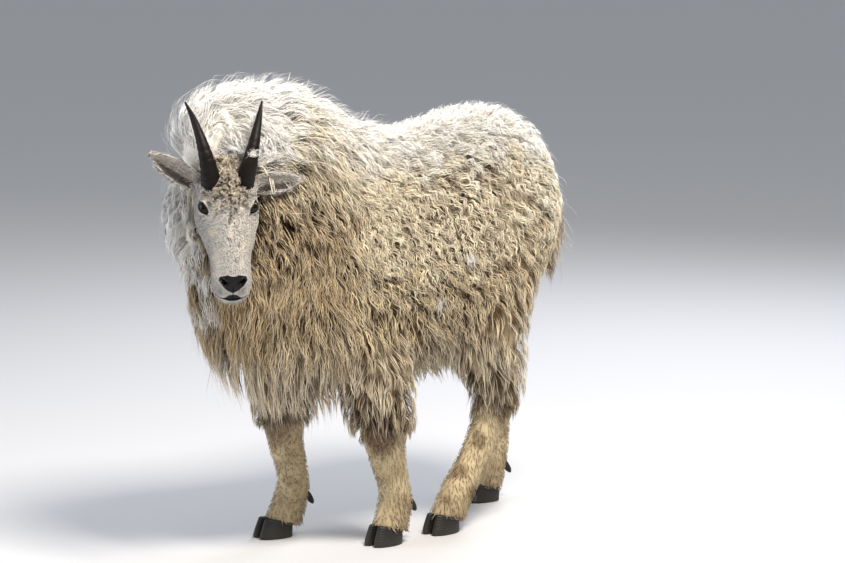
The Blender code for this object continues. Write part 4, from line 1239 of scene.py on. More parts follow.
middles = skin_places[corners].mean(axis=1)
edges = skin_places[corners]
areas = 0.5 * np.linalg.norm(np.cross(edges[:, 1] - edges[:, 0], edges[:, 2] - edges[:, 0]), axis=1)
facts = facts_at(middles)
middle_local = head_coords(middles + SHIFT)
horn_clear = np.ones(len(middles), bool)
for sign in (1, -1):
    centre = head_point(sign * HORN[0][0], HORN[0][1], 0.03)
    horn_clear &= np.linalg.norm(middles - centre, axis=1) > 0.017
is_ear = ear_share(middles)[0] > 0.5
throat = (on_head[corners].mean(1) < 0.5) & (middle_local[:, 1] < 0.25)
nape = (facts[:, 0] == ZONES.index("face")) & ((middle_local[:, 1] < -0.015) | throat) & ~is_ear
facts[nape] = np.array((ZONES.index("neck"), 0, 0.035))
facts[is_ear, 0] = ZONES.index("face")
for k, name in enumerate(ZONES):
    print("Skin of", name, round(float(areas[facts[:, 0] == k].sum()), 3), "square metres")


# %% Scatter roots, and comb guide lines over the skin
def scatter(weight, count, seed):
    """Roots spread over the skin by weight: places, normals, colours, and triangle index."""
    dice = np.random.default_rng(seed)
    share = np.cumsum(areas * weight)
    marks = (np.arange(count) + dice.random(count)) / count * share[-1]
    chosen = np.clip(np.searchsorted(share, marks), 0, len(areas) - 1)
    r1, r2 = np.sqrt(dice.random(count)), dice.random(count)
    blend = np.stack((1 - r1, r1 * (1 - r2), r1 * r2), axis=1)[:, :, None]
    three = corners[chosen]
    return (
        (skin_places[three] * blend).sum(1),
        unit((skin_normals[three] * blend).sum(1)),
        (skin_colours[three] * blend).sum(1),
        chosen,
    )


def nearest_skin(points):
    found = [skin_tree.find_nearest(point) for point in points]
    return np.array([f[0][:] for f in found]), np.array([f[1][:] for f in found])


def turned(vector, axis, angle):
    """Turns each vector about its own axis."""
    c, s = np.cos(angle)[:, None], np.sin(angle)[:, None]
    return vector * c + np.cross(axis, vector) * s + axis * (np.sum(axis * vector, 1)[:, None]) * (1 - c)


# share of the way along a guide, and share of the coat's depth that it has reached there
RISE = ((0, 0.25, 0.5, 0.8, 1), (0, 0.55, 0.9, 1.0, 0.9))


def comb(roots, normals, flow, length, lift, depth, hang, swirl, steps=6):
    """Guide lines, with the outward direction and the height over the skin at each step."""
    count = len(roots)
    lift, hang = np.broadcast_to(lift, count), np.broadcast_to(hang, count)
    lines, outs, heights = (np.zeros((count, steps + 1, *size)) for size in ((3,), (3,), ()))
    point, out = roots - normals * 0.002, normals
    lines[:, 0], outs[:, 0] = point, out
    for k in range(1, steps + 1):
        t = k / steps
        way = flow(point, out)
        way = way - out * np.sum(way * out, 1)[:, None]
        way = turned(unit(way), out, swirl * (0.6 + 0.4 * t))
        way = unit(way + out * (lift * (1 - t) ** 0.7)[:, None])
        pull = (hang * t**0.5)[:, None]
        way = unit(way * (1 - pull) - UP * pull)
        point = point + way * (length / steps)[:, None]
        near, out = nearest_skin(point)
        height = np.sum((point - near) * out, 1)
        low = depth * np.interp(t, *RISE)
        wanted = np.clip(height, low, low * (1 + 0.25 * lift) + hang * 0.3)
        point = point + out * (wanted - height)[:, None]
        lines[:, k], outs[:, k], heights[:, k] = point, out, wanted
    return lines, outs, heights


# %% [markdown]
# ## From guides to strands
# A strand starts somewhere along the lower part of its guide, keeps off it at the root and
# joins it towards the tip. All strands of one lock wave together, as damp wool does. Each
# strand is one closed prism, widest at a third of its length, that ends in a point.


# %% Build strands as one mesh
# share of the way along a strand, and its width there
TAPER = ((0, 0.3, 0.75, 1), (0.80, 1.0, 0.60, 0.0))


def strand_points(guides, each, spread, pinch, wave, wavelength, width, length, segments, seed, stagger=0.25):
    """Corners of all strands, their share along each, the index of their guide, and how deep each lies."""
    lines, outs, heights = guides
    dice = np.random.default_rng(seed)
    steps = lines.shape[1] - 1
    guide = np.repeat(np.arange(len(lines)), each)
    total = len(guide)
    sizes = (spread, pinch, wave, wavelength, width, length)
    spread, pinch, wave, wavelength, width, length = (np.broadcast_to(s, len(lines))[guide] for s in sizes)
    sides = unit(np.cross(np.gradient(lines, axis=1), outs))
    first, last = dice.uniform(0, stagger, total), dice.uniform(0.78, 1.0, total)
    t = np.linspace(0, 1, segments + 1)
    along = first[:, None] + (last - first)[:, None] * t
    place = np.clip(along * steps, 0, steps - 1e-6)
    k = place.astype(int)
    w = (place - k)[:, :, None]
    row = guide[:, None]
    middle = lines[row, k] * (1 - w) + lines[row, k + 1] * w
    side = unit(sides[row, k] * (1 - w) + sides[row, k + 1] * w)
    out = unit(outs[row, k] * (1 - w) + outs[row, k + 1] * w)
    height = heights[row, k] * (1 - w[:, :, 0]) + heights[row, k + 1] * w[:, :, 0]
    sink = np.clip(1 - t / 0.35, 0, 1)[None, :]
    middle = middle - out * ((height + 0.0015) * sink)[:, :, None]
    loose = spread[:, None] * (1 - pinch[:, None] * along**1.2)
    across = dice.normal(0, 0.55, total)[:, None] * loose
    over = dice.uniform(-0.35, 0.45, total)
    above = over[:, None] * loose * (1 - sink)
    phase = dice.uniform(0, 6.28, len(lines))[guide] + dice.normal(0, 0.35, total)
    turn = along * (length / wavelength)[:, None] * 2 * math.pi + phase[:, None]
    sway = wave[:, None] * np.clip(t * 3, 0, 1)[None, :]
    middle = middle + side * (across + sway * np.sin(turn))[:, :, None]
    middle = middle + out * (above + sway * 0.55 * np.cos(turn))[:, :, None]
    size = (width * dice.uniform(0.7, 1.3, total))[:, None] * np.interp(t, *TAPER)[None, :]
    half, tall = side * (size / 2)[:, :, None], out * (size * 0.42)[:, :, None]
    rings = np.stack((middle + half, middle + tall, middle - half), axis=2)[:, :-1]
    return rings, middle[:, -1], t, guide, 1 - smooth(over, -0.25, 0.22)


PATCH = 0.003


def strand_mesh(name, rings, tips, t, colours, patches):
    """One object from all strands. patches are the places of the roots on the unwrap."""
    colours = np.clip(colours, 0, 0.95)
    total, segments = rings.shape[:2]
    each = segments * 3 + 1
    points = np.concatenate((rings.reshape(total, -1, 3), tips[:, None]), axis=1).reshape(-1, 3) + SHIFT
    faces = [(0, 1, 2)]
    for i in range(segments - 1):
        for j in range(3):
            a, b, c, d = i * 3 + j, i * 3 + (j + 1) % 3, i * 3 + 3 + (j + 1) % 3, i * 3 + 3 + j
            faces += [(a, c, b), (a, d, c)]
    top = (segments - 1) * 3
    faces += [(top + j, each - 1, top + (j + 1) % 3) for j in range(3)]
    faces = (np.array(faces)[None] + (np.arange(total) * each)[:, None, None]).reshape(-1, 3)
    mesh = bpy.data.meshes.new(name)
    mesh.vertices.add(len(points))
    mesh.vertices.foreach_set("co", points.astype(np.float32).ravel())
    mesh.loops.add(faces.size)
    mesh.loops.foreach_set("vertex_index", faces.astype(np.int32).ravel())
    mesh.polygons.add(len(faces))
    mesh.polygons.foreach_set("loop_start", np.arange(0, faces.size, 3, dtype=np.int32))
    mesh.polygons.foreach_set("use_smooth", np.ones(len(faces), bool))
    share = np.concatenate((np.repeat(t[:-1], 3), t[-1:]))
    paint = np.empty((total, each, 4), np.float32)
    paint[:, :, :3], paint[:, :, 3] = colours[:, None], share[None]
    mesh.color_attributes.new("coat_colour", "FLOAT_COLOR", "POINT").data.foreach_set("color", paint.ravel())
    flat = np.empty((total, each, 2))
    flat[:, :, 0] = patches[:, None, 0] + PATCH * (np.append(np.tile((0.0, 0.5, 1.0), segments), 0.5) - 0.5)
    flat[:, :, 1] = patches[:, None, 1] + PATCH * (share - 0.5)
    corners_flat = flat.reshape(-1, 2)[faces.ravel()].astype(np.float32)
    mesh.uv_layers.new(name="OFBake").data.foreach_set("uv", corners_flat.ravel())
    mesh.update(calc_edges=True)
    print(name, total, "strands,", len(faces), "triangles")
    return placed(name, mesh)


# %% [markdown]
# Each strand gets a small patch of a flat map at the place of its root, so that its colours can be baked
# there. The map is an unwrap of a light copy of the skin.

# %% Unwrap a light copy of the skin
SHEET_FACES = 9000
sheet = placed("unwrap", skin.data.copy())
light = sheet.modifiers.new("light", "DECIMATE")
light.ratio = min(1.0, SHEET_FACES / len(skin.data.polygons))
applied(sheet)
bpy.context.view_layer.objects.active = sheet
for other in bpy.context.selected_objects:
    other.select_set(False)
sheet.select_set(True)
bpy.ops.object.mode_set(mode="EDIT")
bpy.ops.mesh.select_all(action="SELECT")
bpy.ops.uv.smart_project(angle_limit=1.15, island_margin=0.004)
bpy.ops.object.mode_set(mode="OBJECT")
sheet.data.calc_loop_triangles()
flat_corners = np.array([t.vertices[:] for t in sheet.data.loop_triangles])
flat_loops = np.array([t.loops[:] for t in sheet.data.loop_triangles])
flat_map = read_all(sheet.data.uv_layers.active.data, "uv", each=2)
flat_places = points_of(sheet) - SHIFT
flat_tree = BVHTree.FromPolygons(flat_places.tolist(), flat_corners.tolist())
drop(sheet)


def patch_of(roots):
    """Where each root lies on the unwrap."""
    made = np.empty((len(roots), 2))
    for k, root in enumerate(roots):
        near, _, index, _ = flat_tree.find_nearest(root)
        a, b, c = flat_places[flat_corners[index]]
        e, f, g = b - a, c - a, np.array(near) - a
        ee, ef, ff, ge, gf = e @ e, e @ f, f @ f, g @ e, g @ f
        v, w = np.array((ff * ge - ef * gf, ee * gf - ef * ge)) / max(ee * ff - ef * ef, 1e-14)
        made[k] = np.array((1 - v - w, v, w)) @ flat_map[flat_loops[index]]
    return np.clip(made, 0.002, 0.998)


print("Unwrap of", len(flat_corners), "triangles")

# %% [markdown]
# ## Lie and length of the hair
# Hair leaves the back towards the sides, sweeps back over the ribs, falls straight from the
# chest and hangs free under the belly. On the flank it is a short curly fleece, on the chest
# and the upper legs long straight locks, and on the hump a mane that half stands up.

# %% Traits of the coat by place
TRUNK_ZONE, NECK_ZONE, TAIL_ZONE, FACE_ZONE = 0, 1, 2, 7
EYES_AT = [frame_of_eye[0] for frame_of_eye in eye_frames.values()]


def blend(one, other, share):
    return one * (1 - share[..., None]) + np.asarray(other) * share[..., None]


def traits(points, outs, facts):
    """Length, lift, depth, hang, wave, wavelength and pinch of the hair at each place."""
    y, z = points[:, 1], points[:, 2]
    zone, depth = facts[:, 0], facts[:, 2]
    trunk, neck, tail = zone == TRUNK_ZONE, zone == NECK_ZONE, zone == TAIL_ZONE
    legs = (zone > TAIL_ZONE) & (zone < FACE_ZONE)
    lower = (1 - smooth(z, 0.23, 0.34)) * legs
    chest = smooth(-y, 0.14, 0.26) * (1 - smooth(z, 0.80, 0.90)) * trunk
    under = smooth(-outs[:, 2], 0.05, 0.55) * trunk
    skirt = np.maximum(under, (1 - smooth(z, 0.50, 0.62)) * trunk)
    mane = smooth(z, 0.84, 0.93) * smooth(-y, -0.05, 0.08) * (trunk | neck)
    curly = (1 - chest) * (1 - mane) * (1 - skirt) * smooth(-y, -0.43, -0.36) * trunk
    length = 0.062 + 0.040 * chest + 0.030 * skirt + 0.024 * mane - 0.008 * curly
    length = np.where(neck, 0.075 + 0.015 * mane, length)
    length = np.where(tail, 0.090, length)
    length = np.where(legs, 0.068 * (1 - lower) + 0.017 * lower, length)
    lift = 0.35 + 0.25 * mane + 0.15 * curly
    lift = np.where(tail, 0.5, np.where(legs, 0.3, lift))
    hang = 0.15 + 0.45 * skirt + 0.15 * chest
    hang = np.where(tail, 0.3, np.where(legs, 0.30 * (1 - lower) + 0.1, np.where(neck, 0.10, hang)))
    hang = hang * (1 - 0.9 * mane)
    wave = 0.0026 + 0.0020 * curly - 0.0012 * np.maximum(mane, legs)
    wavelength = 0.034 - 0.008 * curly + 0.012 * np.maximum(mane, legs)
    pinch = 0.72 - 0.12 * curly - 0.22 * mane
    return length, lift, 0.86 * depth + 0.002, hang, wave, wavelength, pinch


def body_flow(zone):
    """The lie of the hair on the body. Each guide keeps the zone of its root."""
    neck, tail, legs = zone == NECK_ZONE, zone == TAIL_ZONE, (zone > TAIL_ZONE) & (zone < FACE_ZONE)

    def flow(points, outs):
        x, y, z = points.T
        ones = np.ones(len(points))
        away = np.sign(x - 0.02) * smooth(np.abs(x - 0.02), 0.0, 0.05)
        over = np.stack((0.55 * away, 0.70 * ones, -0.45 * ones), axis=1)
        way = np.tile((0.0, 0.45, -0.90), (len(points), 1))
        way = blend(way, over, smooth(outs[:, 2], 0.35, 0.85))
        way = blend(way, (0, 0.05, -1.0), smooth(-y, 0.24, 0.34) * (1 - smooth(z, 0.82, 0.90)))
        way = blend(way, (0, 0.20, -1.0), smooth(y, 0.34, 0.42))
        way = blend(way, (0, 0.22, -0.97), neck * 1.0)
        crest = smooth(outs[:, 2], 0.15, 0.75) * smooth(z, 0.82, 0.90) * neck
        way = blend(way, np.stack((0.35 * away, 0.90 * ones, 0.10 * ones), axis=1), crest)
        brow = smooth(-outs[:, 1], 0.20, 0.55) * smooth(z, 0.85, 0.92) * (neck | (y < -0.36))
        way = blend(way, (0.0, 0.15, 1.0), brow)
        way = blend(way, (0, 0.06, -1.0), legs * 1.0)
        way = blend(way, (0.05, 0.10, -1.0), tail * 1.0)
        angle = 0.30 * wobble(points, 0.16, 21) + 0.22 * wobble(points, 0.06, 22)
        return turned(unit(way), outs, np.where(legs & (z < 0.3), 0.3, 1.0) * angle)

    return flow


# %% [markdown]
# The body's coat is cut into pieces by place, each under 200,000 triangles. The traits come
# from the place alone, so the pieces meet with no visible border. Short hair gets more
# roots than long hair on the same area, so that all of it covers the skin alike.

# %% Grow the coat of the body
side = middles[:, 0] - 0.02
back, height = middles[:, 1], middles[:, 2]
normals_mid = unit(skin_normals[corners].sum(1))
zone = facts[:, 0]
is_trunk, is_neck, is_tail, is_face = (zone == k for k in (TRUNK_ZONE, NECK_ZONE, TAIL_ZONE, FACE_ZONE))
is_leg = ~(is_trunk | is_neck | is_tail | is_face)
is_under = is_trunk & (normals_mid[:, 2] < -0.35)
is_over = is_trunk & ~is_under & (normals_mid[:, 2] > 0.62)
is_front = is_trunk & ~is_under & ~is_over & (back < -0.13)
is_rump = is_trunk & ~is_under & ~is_over & (back > 0.33)
is_flank = is_trunk & ~is_under & ~is_over & ~is_front & ~is_rump
# on the legs, long hair grows above one height and short hair below another
LONG_ABOVE, SHORT_BELOW = 0.280, 0.285
fore = back < 0.05
# name, where, locks, strands in a lock, segments, width, spread
BODY_COAT = (
    ("coat_flank_left", is_flank & (side > 0), 740, 6, 6, 0.0024, 0.0115),
    ("coat_flank_right", is_flank & (side <= 0), 640, 6, 6, 0.0025, 0.0115),
    ("coat_front_left", is_front & (side > 0), 900, 5, 6, 0.0026, 0.0110),
    ("coat_front_right", is_front & (side <= 0), 760, 5, 6, 0.0027, 0.0110),
    ("coat_back", is_over, 1000, 7, 4, 0.0022, 0.0130),
    ("coat_rump", is_rump, 700, 7, 4, 0.0023, 0.0130),
    ("coat_belly", is_under, 420, 6, 4, 0.0026, 0.0130),
    ("coat_neck_left", is_neck & (side > 0.02), 590, 6, 5, 0.0023, 0.0125),
    ("coat_neck_right", is_neck & (side <= 0.02), 590, 6, 5, 0.0023, 0.0125),
    ("coat_tail", is_tail, 90, 6, 4, 0.0022, 0.0100),
    ("coat_legs_fore", is_leg & fore & (height > LONG_ABOVE), 530, 7, 4, 0.0021, 0.0110),
    ("coat_legs_hind", is_leg & ~fore & (height > LONG_ABOVE), 570, 7, 4, 0.0021, 0.0110),
)
# the lowest strands of a tan lock get painted shade: they are darkened, and made this much less green and
# blue
LOW_STRAND_SHADE_HUE = np.array((0.0, 0.10, 0.24))
sparse = 1 / (traits(middles, normals_mid, facts)[0] + 0.015)
coats = []
for order, (name, where, locks, each, segments, width, spread) in enumerate(BODY_COAT):
    roots, outs, _, chosen = scatter(where * sparse, locks, 100 + order)
    dice = np.random.default_rng(200 + order)
    own = facts[chosen]
    length, lift, depth, hang, wave, wavelength, pinch = traits(roots, outs, own)
    length = length * dice.uniform(0.78, 1.2, locks)
    depth = depth * dice.uniform(0.72, 1.05, locks)
    fluffy = smooth(roots[:, 2], 0.84, 0.93) * smooth(-roots[:, 1], -0.05, 0.08)
    fluffy = fluffy * ((own[:, 0] == TRUNK_ZONE) | (own[:, 0] == NECK_ZONE))
    swirl = dice.normal(0, 0.22, locks) * (1 + 1.2 * fluffy)
    guides = comb(roots, outs, body_flow(own[:, 0]), length, lift, depth, hang, swirl)
    rings, tips, t, guide, deep = strand_points(
        guides, each, spread, pinch, wave, wavelength, width, length, segments, 300 + order
    )
    tone = dice.normal(1.0, 0.08, locks)[guide] * dice.normal(1.0, 0.06, len(guide))
    colours = body_colour(guides[0][:, 3])[guide]
    # painted shade on the strands that lie deepest in a lock, most where the colour is tan
    low_strand_shade = (1 - smooth(colours.mean(1), 0.62, 0.88)) * deep
    colours = colours * (tone * (1 - 0.60 * low_strand_shade))[:, None] * (1 - low_strand_shade[:, None] * LOW_STRAND_SHADE_HUE)
    coats.append(strand_mesh(name, rings, tips, t, colours, patch_of(roots)[guide]))

# %% [markdown]
# Single fine hairs stand out of the locks here and there, and break up the outline.

# %% Stray hairs over the whole body
STRAYS = 4200
long_hair = is_trunk | is_neck | is_tail | (is_leg & (height > LONG_ABOVE))
more_on_top = 1 + 3 * smooth(height, 0.82, 0.92)
roots, outs, colours, chosen = scatter(long_hair * more_on_top, STRAYS, 390)
dice = np.random.default_rng(391)
length, lift, depth, hang = traits(roots, outs, facts[chosen])[:4]
length = length * dice.uniform(1.0, 1.5, STRAYS)
lift = lift + dice.uniform(0.1, 0.9, STRAYS) + 0.4 * smooth(roots[:, 2], 0.82, 0.92)
swirl = dice.normal(0, 0.4, STRAYS)
flow = body_flow(facts[chosen][:, 0])
guides = comb(roots, outs, flow, length, lift, depth * 1.12, hang * 0.7, swirl)
rings, tips, t, guide, deep = strand_points(guides, 1, 0.002, 0.5, 0.002, 0.05, 0.0010, length, 3, 392, 0.1)
colours = mix(colours, WHITE, np.full(STRAYS, 0.35))
coats.append(strand_mesh("coat_strays", rings, tips, t, colours, patch_of(roots)))

# %% [markdown]
# ## Short hair
# The face is covered by short flat hair that grows from the nose up to the poll and out to
# the cheeks. It is shortest on the muzzle and round the eyes. The lower legs have the same
# kind of hair, pointing down over the hooves, and the ears carry a fringe.

# %% Short hair of the face, the ears and the lower legs
def short_traits(points):
    """Length and width of the short hair of the head."""
    b, c = head_coords(points + SHIFT)[:, 1:].T
    eye = np.min([np.linalg.norm(points - centre, axis=1) for centre in EYES_AT], axis=0)
    length = np.interp(b, (-0.02, 0.05, 0.12, 0.20, 0.26), (0.022, 0.015, 0.010, 0.0065, 0.0045))
    length = length * (1 + 0.9 * (1 - smooth(c, -0.095, -0.045)) * (1 - smooth(b, 0.18, 0.24)))
    length = length * (0.38 + 0.62 * smooth(eye, 0.019, 0.036))
    return length, 0.0011 + 0.06 * length


def head_flow(points, outs):
    a, b, c = head_coords(points + SHIFT).T
    away = np.sign(a) * smooth(np.abs(a), 0.004, 0.03)
    way = -NOSE * np.ones((len(points), 1)) + LEFT * (0.55 * away)[:, None]
    way = way - BROW * (0.45 * (1 - smooth(c, -0.06, 0.01)))[:, None]
    fall = (1 - smooth(c, -0.095, -0.06)) * (1 - smooth(b, 0.2, 0.25))
    way = way - 0.8 * UP * fall[:, None]
    return turned(unit(way), outs, 0.35 * wobble(points, 0.04, 31))


def ear_flow(points, outs):
    a = head_coords(points + SHIFT)[:, 0]
    way = LEFT * np.sign(a)[:, None] - NOSE * 0.15
    return turned(unit(way), outs, 0.3 * wobble(points, 0.03, 32))


def leg_flow(points, outs):
    way = np.tile((0.0, 0.05, -1.0), (len(points), 1))
    return turned(unit(way), outs, 0.25 * wobble(points, 0.05, 33))


furry = skin_bare[corners].mean(1) < 0.25
on_shin = is_leg & (height <= SHORT_BELOW)
on_face = is_face & ~is_ear & furry & (middle_local[:, 1] > -0.03) & horn_clear
on_ear = is_ear & furry
even = np.ones(len(middles))
# name, where, weight, tufts, lie
SHORT_COAT = (
    ("coat_face", on_face, 1 / (short_traits(middles)[0] + 0.002), 7400, head_flow),
    ("coat_ears", on_ear, even, 1700, ear_flow),
    ("coat_shins", on_shin, even, 5300, leg_flow),
)
for order, (name, where, weight, tufts, flow) in enumerate(SHORT_COAT):
    roots, outs, colours, chosen = scatter(where * weight, tufts, 400 + order)
    dice = np.random.default_rng(450 + order)
    if name == "coat_face":
        (length, width), lift = short_traits(roots), 0.32
    elif name == "coat_ears":
        length, width, lift = 0.012, 0.0017, 0.30
    else:
        rise = roots[:, 2]
        length = 0.015 + 0.008 * smooth(rise, 0.20, 0.28) + 0.010 * (1 - smooth(rise, 0.05, 0.08))
        width, lift = 0.0028, 0.20
    length = length * dice.uniform(0.7, 1.25, tufts)
    swirl = dice.normal(0, 0.28, tufts)
    guides = comb(roots, outs, flow, length, lift, 0.0014 + 0.16 * length, 0.03, swirl, steps=3)
    rings, tips, t, guide, deep = strand_points(
        guides, 1, 0.0005, 0.5, 0.0003, 0.02, width, length, 2, 460 + order, 0.02
    )
    tone = dice.normal(1.0, 0.11, tufts)[:, None]
    coats.append(strand_mesh(name, rings, tips, 0.5 + 0.5 * t, colours * tone, patch_of(roots)))

# %% [markdown]
# Between the horns sits a cushion of tight wool, and under the jaw a short beard. Both are
# made as the body's locks are, only with smaller numbers: the wool waves tightly and stands
# up, the beard hangs. A fringe lines the edge of each ear.

# %% Forehead wool, beard and ear fringe
a, b, c = middle_local.T
woolly = is_face | nape
wool_weight = np.exp(-((a / 0.038) ** 2) - (((b - 0.012) / 0.055) ** 2)) * woolly * smooth(c, -0.01, 0.01)
beside_horn = np.abs(a) - HORN[0][0]
round_horn = bell(beside_horn, 0, 0.020) * bell(b, HORN[0][1] + 0.020, 0.012)
round_horn = round_horn * (1 - smooth(beside_horn, 0.000, 0.012)) * woolly * smooth(c, -0.02, 0.0)
wool_weight = wool_weight * (wool_weight > 0.08) + 0.45 * round_horn
wool_weight = wool_weight * horn_clear
for side in eye_frames:
    x, y, z = eye_coords(middles + SHIFT, side)
    wool_weight = wool_weight * smooth(np.hypot(x, y), 0.024, 0.036)
beard_weight = is_face * bell(a, 0, 0.022) * bell(b, 0.115, 0.045) * (1 - smooth(c, -0.085, -0.070))
ear_edge = 1.0 * on_ear * (np.abs(normals_mid @ unit(EAR_FACING)) < 0.55)


def wool_flow(points, outs):
    a, b = head_coords(points + SHIFT)[:, :2].T
    way = NOSE * (0.75 * smooth(b, -0.01, 0.05) - 0.15)[:, None] + LEFT * (8 * a)[:, None]
    return turned(unit(way + 0.001), outs, 1.1 * wobble(points, 0.03, 41))


def beard_flow(points, outs):
    return np.tile(unit(-UP - NOSE * 0.1), (len(points), 1))


# name, weight, lie, locks, strands in a lock, segments, length, lift, hang, wave, wavelength, width, spread
HEAD_LOCKS = (
    ("wool_forehead", wool_weight, wool_flow, 270, 6, 6, 0.027, 0.95, 0.0, 0.0028, 0.0125, 0.0022, 0.0050),
    ("beard", beard_weight, beard_flow, 44, 7, 6, 0.075, 0.55, 0.55, 0.0014, 0.0400, 0.0026, 0.0080),
    ("fringe_ears", ear_edge, ear_flow, 150, 3, 4, 0.018, 0.45, 0.05, 0.0008, 0.0200, 0.0016, 0.0030),
)
for order, (name, weight, flow, locks, each, segments, *sizes) in enumerate(HEAD_LOCKS):
    long, lift, hang, wave, wavelength, width, spread = sizes
    roots, outs, colours, chosen = scatter(weight, locks, 500 + order)
    dice = np.random.default_rng(550 + order)
    length = long * dice.uniform(0.75, 1.25, locks)
    low = 0.25 * length * (lift > 0.9) + 0.002
    guides = comb(roots, outs, flow, length, lift, low, hang, dice.normal(0, 0.3, locks))
    rings, tips, t, guide, deep = strand_points(
        guides, each, spread, 0.7, wave, wavelength, width, length, segments, 560 + order
    )
    tone = (dice.normal(1.0, 0.08, locks)[guide] * dice.normal(1.0, 0.05, len(guide)))[:, None]
    coats.append(strand_mesh(name, rings, tips, t, colours[guide] * tone, patch_of(roots)[guide]))

# %% [markdown]
# Wool comes off in spring. One wisp has caught on the left horn, and two tufts hang from
# the flank. The tufts are placed through the photo's pixels, on the skin that the camera
# sees there, and start half way out through the coat.

# %% Shed wool
HORN_WISP_AT = 2.35
FLANK_TUFTS = ((434, 296), (463, 254))


def skin_under_pixel(px, py):
    """Where the camera's ray through a pixel of the photo meets the skin."""
    eye = target + back_way * DISTANCE
    aim = target + right * (px - WIDTH / 2) / PIXELS_PER_METRE + up * (HEIGHT / 2 - py) / PIXELS_PER_METRE
    hit, normal, _, _ = skin_tree.ray_cast(Vector(eye), Vector(unit(aim - eye)))
    return np.array(hit), np.array(normal)


a, b, c, half = row_at(HORN, HORN_WISP_AT)
centre = head_point(a, b, c)
axis = unit(head_point(*row_at(HORN, HORN_WISP_AT + 0.3)[:3]) - centre)
facing = unit(back_way - axis * (back_way @ axis))
aside = np.cross(axis, facing)
lines, away = [], []
dice = np.random.default_rng(600)
for k in range(11):
    turns = np.linspace(-0.8, 1.2, 7) * dice.uniform(0.4, 1.2) + dice.normal(0.1, 0.45)
    radial = facing * np.cos(turns)[:, None] + aside * np.sin(turns)[:, None]
    drift = axis * (dice.normal(0, 0.0022) + 0.006 * turns + 0.004 * np.sin(3 * turns + k))[:, None]
    lines.append(centre + radial * (half + 0.0015 + 0.002 * dice.random()) + drift)
    away.append(radial)
HANG = np.array((0, 0.1, -1.0))
for px, py in FLANK_TUFTS:
    place, out = skin_under_pixel(px, py)
    fall = unit(HANG - out * (out @ HANG))
    sideways = np.cross(out, fall)
    for k in range(16):
        start = place + out * 0.021 + sideways * dice.normal(0, 0.0050) - fall * dice.normal(0, 0.005)
        steps = np.linspace(0, 0.038 * dice.uniform(0.5, 1.1), 7)[:, None]
        aslant = sideways * dice.normal(0, 0.25)
        lines.append(start + (fall + aslant) * steps + out * (0.006 * np.sin(steps / 0.014)))
        away.append(np.repeat(out[None], 7, 0))
lines, away = np.array(lines), np.array(away)
guides = (lines, away, np.zeros(lines.shape[:2]))
rings, tips, t, guide, deep = strand_points(guides, 3, 0.004, 0.3, 0.0014, 0.015, 0.0010, 0.045, 7, 601, 0.1)
white = WHITE * dice.uniform(0.8, 1.0, len(guide))[:, None]
coats.append(strand_mesh("shed_wool", rings, tips, t, white, patch_of(lines[:, 0])[guide]))
print("Coat in all", sum(len(made.data.polygons) for made in coats), "triangles")

# %% [markdown]
# ## Materials
# Hair is slightly glossy along its sides. One material serves all of it: the tuft's own colour, darker and
# warmer at the root, where soil and shade gather.

# %% Hair
# painted shade and soil at the roots: a dark warm tint on tan hair, a faint one on white hair
TAN_ROOT_SOIL_AND_SHADE, WHITE_ROOT_SOIL_AND_SHADE = (0.22, 0.155, 0.09, 1), (1.0, 0.98, 0.94, 1)
hair_material, tree, shader = new_material("woolly_hair", "#E6D8BC", 0.62)
paint = add_node(tree, "ShaderNodeAttribute", attribute_name="coat_colour").outputs
along = add_node(tree, "ShaderNodeMapRange", [("Value", paint["Alpha"])], From_Min=0.05, From_Max=0.90)
grey = add_node(tree, "ShaderNodeRGBToBW", [("Color", paint["Color"])])
pale = add_node(tree, "ShaderNodeMapRange", [("Value", grey)], From_Min=0.62, From_Max=0.88)
root_soil_and_shade = add_node(
    tree, "ShaderNodeMix", [(0, pale)], [(6, TAN_ROOT_SOIL_AND_SHADE), (7, WHITE_ROOT_SOIL_AND_SHADE)], data_type="RGBA"
)
rooted = add_node(
    tree, "ShaderNodeMix", [(6, paint["Color"]), (7, root_soil_and_shade.outputs[2])], [(0, 1.0)],
    data_type="RGBA", blend_type="MULTIPLY",
)
tinted = add_node(
    tree, "ShaderNodeMix", [(0, along), (6, rooted.outputs[2]), (7, paint["Color"])],
    data_type="RGBA",
)
feed(tree, shader, Base_Color=tinted.outputs[2])
shader.inputs["Sheen Weight"].default_value = 0.15
shader.inputs["Specular IOR Level"].default_value = 0.35
give(coats, hair_material)
print("Hair on", len(coats), "pieces")

# %% [markdown]
# The horn sheath is black keratin in patches from black to dark brown, with fine streaks that vary its
# roughness and raise a light bump.

# %% Horn
place = add_node(horn_tree, "ShaderNodeTexCoord").outputs["Object"]
streaks = add_node(horn_tree, "ShaderNodeTexNoise", [("Vector", place)], Scale=240.0, Detail=5.0)
patches = add_node(horn_tree, "ShaderNodeTexNoise", [("Vector", place)], Scale=32.0, Detail=3.0)
shade = add_node(
    horn_tree, "ShaderNodeMix", [(0, patches)],
    [(6, solid_tint("#060404")), (7, solid_tint("#1D1512"))], data_type="RGBA",
)
worn = add_node(horn_tree, "ShaderNodeMapRange", [("Value", streaks)], To_Min=0.38, To_Max=0.66)
bump = add_node(horn_tree, "ShaderNodeBump", [("Height", streaks)], Strength=0.4, Distance=0.0006)
feed(horn_tree, horn_shader, Base_Color=shade.outputs[2], Roughness=worn, Normal=bump)
horn_shader.inputs["Specular IOR Level"].default_value = 0.18
print("Horn finish ready")
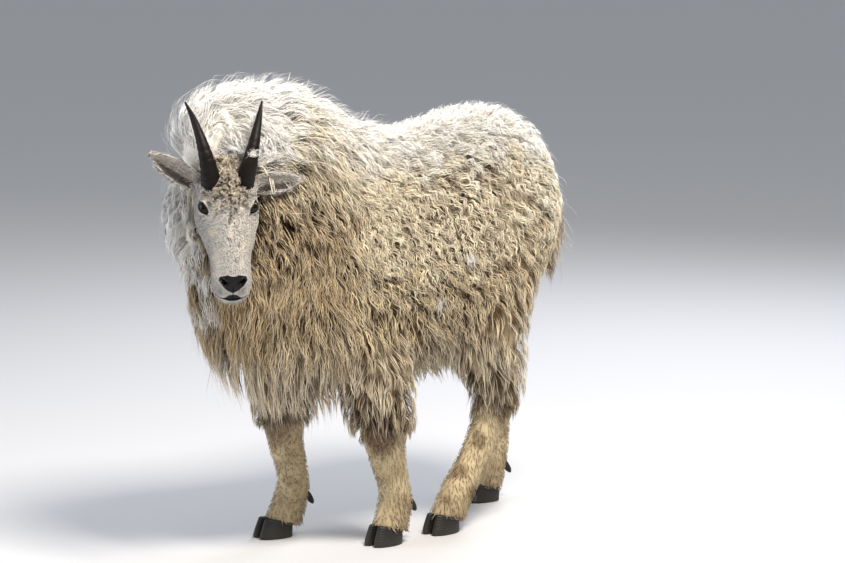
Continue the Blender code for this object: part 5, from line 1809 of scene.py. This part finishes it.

# %% [markdown]
# The skin carries short down, drawn as a fine bump. Where it is bare, on the nose pad, the lips and the edges
# of the lids, it is dark, pebbled and moist.

# %% Skin
skin_material, tree, shader = new_material("skin_with_down", "#E0D8C8", 0.8)
paint = add_node(tree, "ShaderNodeAttribute", attribute_name="coat_colour").outputs
place = add_node(tree, "ShaderNodeTexCoord").outputs["Object"]
down = add_node(tree, "ShaderNodeTexNoise", [("Vector", place)], Scale=420.0, Detail=3.0)
pebbles = add_node(tree, "ShaderNodeTexVoronoi", [("Vector", place)], Scale=520.0)
relief = add_node(
    tree, "ShaderNodeMix",
    [(0, paint["Alpha"]), (2, down), (3, pebbles)], data_type="FLOAT",
)
bump = add_node(tree, "ShaderNodeBump", [("Height", relief)], Strength=0.5, Distance=0.0012)
moist = add_node(tree, "ShaderNodeMapRange", [("Value", paint["Alpha"])], To_Min=0.85, To_Max=0.34)
feed(tree, shader, Base_Color=paint["Color"], Roughness=moist, Normal=bump)
shader.inputs["Specular IOR Level"].default_value = 0.25
give([skin], skin_material)
print("Skin ready")

# %% [markdown]
# Hooves are dark keratin with growth rings that run round them, worn pale and dusty towards
# the ground.

# %% Hooves
hoof_material, tree, shader = new_material("hoof_keratin", "#26211E", 0.55)
place = add_node(tree, "ShaderNodeTexCoord").outputs["Object"]
apart = add_node(tree, "ShaderNodeSeparateXYZ", [("Vector", place)])
growth = add_node(
    tree, "ShaderNodeTexWave", [("Vector", place)],
    bands_direction="Z", Scale=55.0, Distortion=1.2, Detail=2.0,
)
grain = add_node(tree, "ShaderNodeTexNoise", [("Vector", place)], Scale=160.0, Detail=4.0)
dust = add_node(
    tree, "ShaderNodeMapRange", [("Value", apart.outputs["Z"])],
    From_Min=0.0, From_Max=0.035, To_Min=0.40, To_Max=0.05,
)
dusty = add_node(tree, "ShaderNodeMath", [(0, dust), (1, grain)], operation="MULTIPLY")
tint = add_node(
    tree, "ShaderNodeMix", [(0, dusty)],
    [(6, solid_tint("#080706")), (7, solid_tint("#5A5142"))], data_type="RGBA",
)
bump = add_node(tree, "ShaderNodeBump", [("Height", growth.outputs["Fac"])], Strength=0.35, Distance=0.0008)
feed(tree, shader, Base_Color=tint.outputs[2], Normal=bump)
give(hooves, hoof_material)
print("Hooves and dewclaws", len(hooves))

# %% [markdown]
# ## Hand over to the frame
# The whole animal is one still body, so each piece rides on the root. The skin takes the
# place of all flesh in the solids. Hooves, dewclaws, horns and eyes already replaced theirs.

# %% Ride and replace
for made in [skin, *horns, *eyes, *hooves, *coats]:
    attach(made, "root")
FLESH = ("torso", "neck", "head", "tail", "ear", "upper", "lower")
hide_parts(*[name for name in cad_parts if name.split("_")[0] in FLESH])
